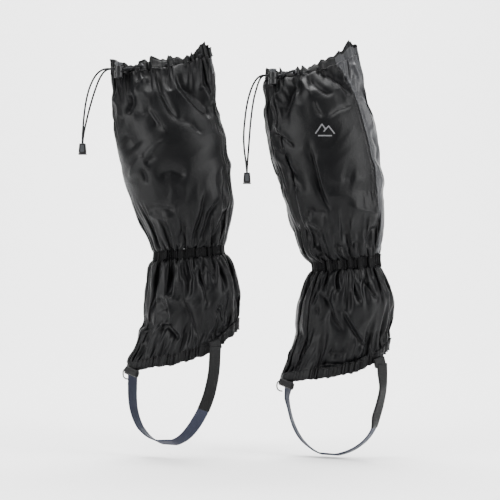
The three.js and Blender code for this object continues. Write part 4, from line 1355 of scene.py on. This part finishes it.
LOWER_FOLDS = {
    "right": [
        ([(-72, 206), (-68, 202), (-64, 192), (-59, 181), (-55, 167), (-50, 156), (-45, 149)], 2.4, -4, 0.4),
        ([(-52, 242), (-48, 234), (-45, 222), (-41, 211), (-39, 199), (-34, 188)], 2.4, -3.4, 0.35),
        ([(-26, 249), (-22, 237), (-20, 223)], 3.4, -4, 0.35),
        ([(-25, 191), (-18, 182), (-16, 171)], 4, -4, 0.35),
        ([(-81, 239), (-80, 231), (-82, 219)], 3, -3.4, 0.35),
        ([(-62, 239), (-61, 229), (-55, 219)], 2.4, -2.4, 0.35),
        ([(-39, 239), (-35, 231), (-28, 222)], 2.4, -2.4, 0.35),
        ([(-88, 206), (-80, 198), (-72, 196), (-69, 199)], 2, 2.6, 0.35),
        ([(-91, 208), (-88, 201), (-85, 191), (-82, 179), (-85, 169), (-96, 168), (-105, 159)], 3, 4.5, 0.4),
        ([(-101, 199), (-96, 191), (-92, 182)], 7, -4, 0.3),
        ([(-111, 167), (-118, 162), (-124, 158)], 5, -5, 0.4),
        ([(-102, 157), (-90, 163), (-81, 156), (-72, 147)], 4.5, -5, 0.4),
        ([(-70, 157), (-58, 154)], 7, -3, 0.3),
        ([(-21, 149), (-31, 146)], 3, 2, 0.3),
    ],
    "left": [
        ([(100, 206), (106, 198), (111, 188), (116, 173), (124, 164), (130, 157)], 2.4, -4, 0.4),
        ([(118, 189), (128, 182), (134, 169), (142, 156), (150, 144), (158, 132)], 3, -4.2, 0.4),
        ([(126, 189), (138, 172), (148, 156), (155, 143)], 3, 2.4, 0.3),
        ([(119, 219), (122, 208)], 2.2, -3, 0.35),
        ([(140, 221), (142, 208), (151, 191)], 2.4, -3.4, 0.35),
        ([(152, 224), (159, 213), (170, 198)], 2.4, -3.2, 0.35),
        ([(89, 111), (105, 118), (130, 117), (146, 123), (160, 129)], 4.5, -5, 0.35),
        ([(106, 133), (121, 131), (136, 133)], 6, -4, 0.3),
        ([(90, 209), (81, 174), (76, 144)], 4, 2.6, 0.3),
        ([(64, 118), (66, 106)], 2, -2.4, 0.35),
        ([(95, 189), (96, 177)], 1.8, -2, 0.35),
        ([(179, 194), (184, 213), (178, 234)], 4, 2.4, 0.3),
    ],
}


# how far the cuff's edge stands up past its casing: angles in degrees, then heights
FRILL = {
    "right": (
        (0, 12, 35, 54, 60, 66, 74, 86, 100, 122, 138, 150, 163, 180),
        (4, 7, 1, 0, -2.4, 0, 3, 5, 2, -3, 0, 8.5, 3, -3),
    ),
    "left": ((0, 15, 40, 75, 90, 110, 130, 150, 165, 180), (-1, 1, 1, 0, 2, 1, 2, 9.5, 3, -2)),
}


def cuff_frill(prefix):
    """The cuff's top edge: it stands up in a point at the back."""
    knots, heights = FRILL[prefix]

    def frill(degrees):
        near = np.interp(degrees, knots, heights)
        far = np.interp(360 - degrees, knots, heights) * 0.6
        ripple = 0.7 * np.sin(np.radians(degrees) * 11) + 0.5 * np.sin(np.radians(degrees) * 23 + 1)
        return np.where(degrees <= 180, near, far) + ripple

    return frill


PLAIN_BAND = {
    "finer": 1.5, "small": 0.7, "stitch": 0.6, "bulge": 0.7, "crest": 1.6, "slow": 0.5, "flare": 0.6,
    "deep": 4.4, "ragged": 1.7, "calm": 0, "pads": [], "frill": np.zeros_like,
}
CUFF_BAND = {**PLAIN_BAND, "small": 0.0, "bulge": 0.5, "crest": 1.0, "slow": 2.1, "flare": 0.4, "ragged": 1.3}
HEM_BAND = {
    **PLAIN_BAND, "finer": 2, "small": 0.6, "crest": 1.1, "slow": 0.6, "flare": 0.7, "ragged": 1.1,
    "calm": 0.85,
}
# values with two parts are for the panels' upper and lower ends
UPPER_SHAPE = {
    "gather": (0.45, 0.7), "pleat": (1.8, 1.5), "tuck": (-0.2, -1.8), "round": 1.02,
    "soft": 1.3, "crisp": 0.7, "small": 0.2,
}
LOWER_SHAPE = {
    "gather": (1.15, 0.8), "pleat": (1.5, 1.6), "tuck": (-1.8, -0.6), "round": 1.03,
    "soft": 1.4, "crisp": 1.4, "small": 0.5,
}


def add_sleeve(prefix, spec, looks):
    """Five panels and three gathered bands. Returns the leg's surface and the panels."""
    leg = Leg(spec)
    seed = spec["pleat_seed"]
    cuff_pleats, ankle_pleats, hem_pleats = (
        Pleats(leg, band["station"], spacing, seed + step)
        for step, (band, spacing) in enumerate(((CUFF, 9.0), (ANKLE, 6.2), (HEM, 7.0)))
    )
    above, below = (cuff_pleats, ankle_pleats), (ankle_pleats, hem_pleats)
    top = {**UPPER_SHAPE, **UPPER[prefix], **SHARED}
    low = {**LOWER_SHAPE, **LOWER[prefix], **SHARED}
    upper = drape(leg, CUFF, ANKLE, (160, 304), top, UPPER_FOLDS[prefix], above)
    lower = drape(leg, ANKLE, HEM, (80, 304), low, LOWER_FOLDS[prefix], below)
    shin, shin_low = SEAMS["shin"], SEAMS["shin_hem"]
    front, front_low = (shin, shin), (shin, shin_low)
    next_front, next_low = (shin + 360, shin + 360), (shin + 360, shin_low + 360)
    rear, medial = (SEAMS["rear_top"], SEAMS["rear_ankle"]), (SEAMS["medial"], SEAMS["medial"])
    made = {}
    for node, cloth, edges, look, steps, pleats in (
        ("upper_lateral_panel", upper, (front, rear), "shell", 150, above),
        # the rear panel's cloth is painted lighter and patchy: painted sheen
        ("upper_rear_panel", upper, (rear, medial), "rear", 80, above),
        ("upper_medial_panel", upper, (medial, next_front), "shell", 300, above),
        ("lower_lateral_panel", lower, (front_low, medial), "shell", 210, below),
        ("lower_medial_panel", lower, (medial, next_low), "shell", 300, below),
    ):
        name = f"{prefix}_{node}_cloth"
        panel = add_panel(name, spec, cloth, edges, looks[look], steps, pleats)
        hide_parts(f"{prefix}_{node}")
        made[node] = panel
    edges = sorted(float(seam_angle(spec, edge, 0.0)) for edge in (rear, medial))
    cuff = {**CUFF_BAND, "rear": edges, "frill": cuff_frill(prefix)}
    hem = {**HEM_BAND, "pads": spec["pads"]}
    for node, key, band, pleats, look, cloth, rear_cloth in (
        # the cuff's rear stretch takes the rear cloth with its painted sheen
        ("cuff_tunnel", "cuff", CUFF, cuff_pleats, cuff, looks["shell"], looks["rear"]),
        # the ankle casing's cloth is painted darker: painted shade between its gathers
        ("ankle_casing", "ankle", ANKLE, ankle_pleats, PLAIN_BAND, looks["gathered"], None),
        ("hem_casing", "hem", HEM, hem_pleats, hem, looks["shell"], None),
    ):
        piece = add_band(f"{prefix}_{key}_band", leg, band, pleats, look, cloth, rear_cloth)
        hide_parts(f"{prefix}_{node}")
    return leg, made


def main():
    looks = make_materials()
    add_camera()
    cords = {prefix: add_cords(prefix, spec, looks) for prefix, spec in GAITERS.items()}
    for prefix, spec in GAITERS.items():
        leg, panels = add_sleeve(prefix, spec, looks)
        lock = add_cord_lock(prefix, spec, looks)
        end = add_cord_end(prefix, spec, looks)
        add_eyelets(prefix, leg, looks)
        for name, node, place, size in (
            ("toe_roll", "toe_loop", "roll", ROLL),
            ("front_tab_webbing", "strap_tab_front", "front_tab", FRONT_TAB),
            ("rear_tab_webbing", "strap_tab_rear", "rear_tab", REAR_TAB),
        ):
            add_roll(f"{prefix}_{name}", f"{prefix}_{node}", spec[place], size, looks)
        add_hook(prefix, spec, looks)
        add_strap(prefix, spec, looks)
        if prefix == "left":
            add_mark(looks, panels["upper_lateral_panel"])
        carried = (("ankle_elastic", "elastic"), ("hem_elastic", "elastic"), ("drawcord_loop", "cord"))
        for node, look in carried:
            paint_node(f"{prefix}_{node}", looks[look])
    add_stage()


main()
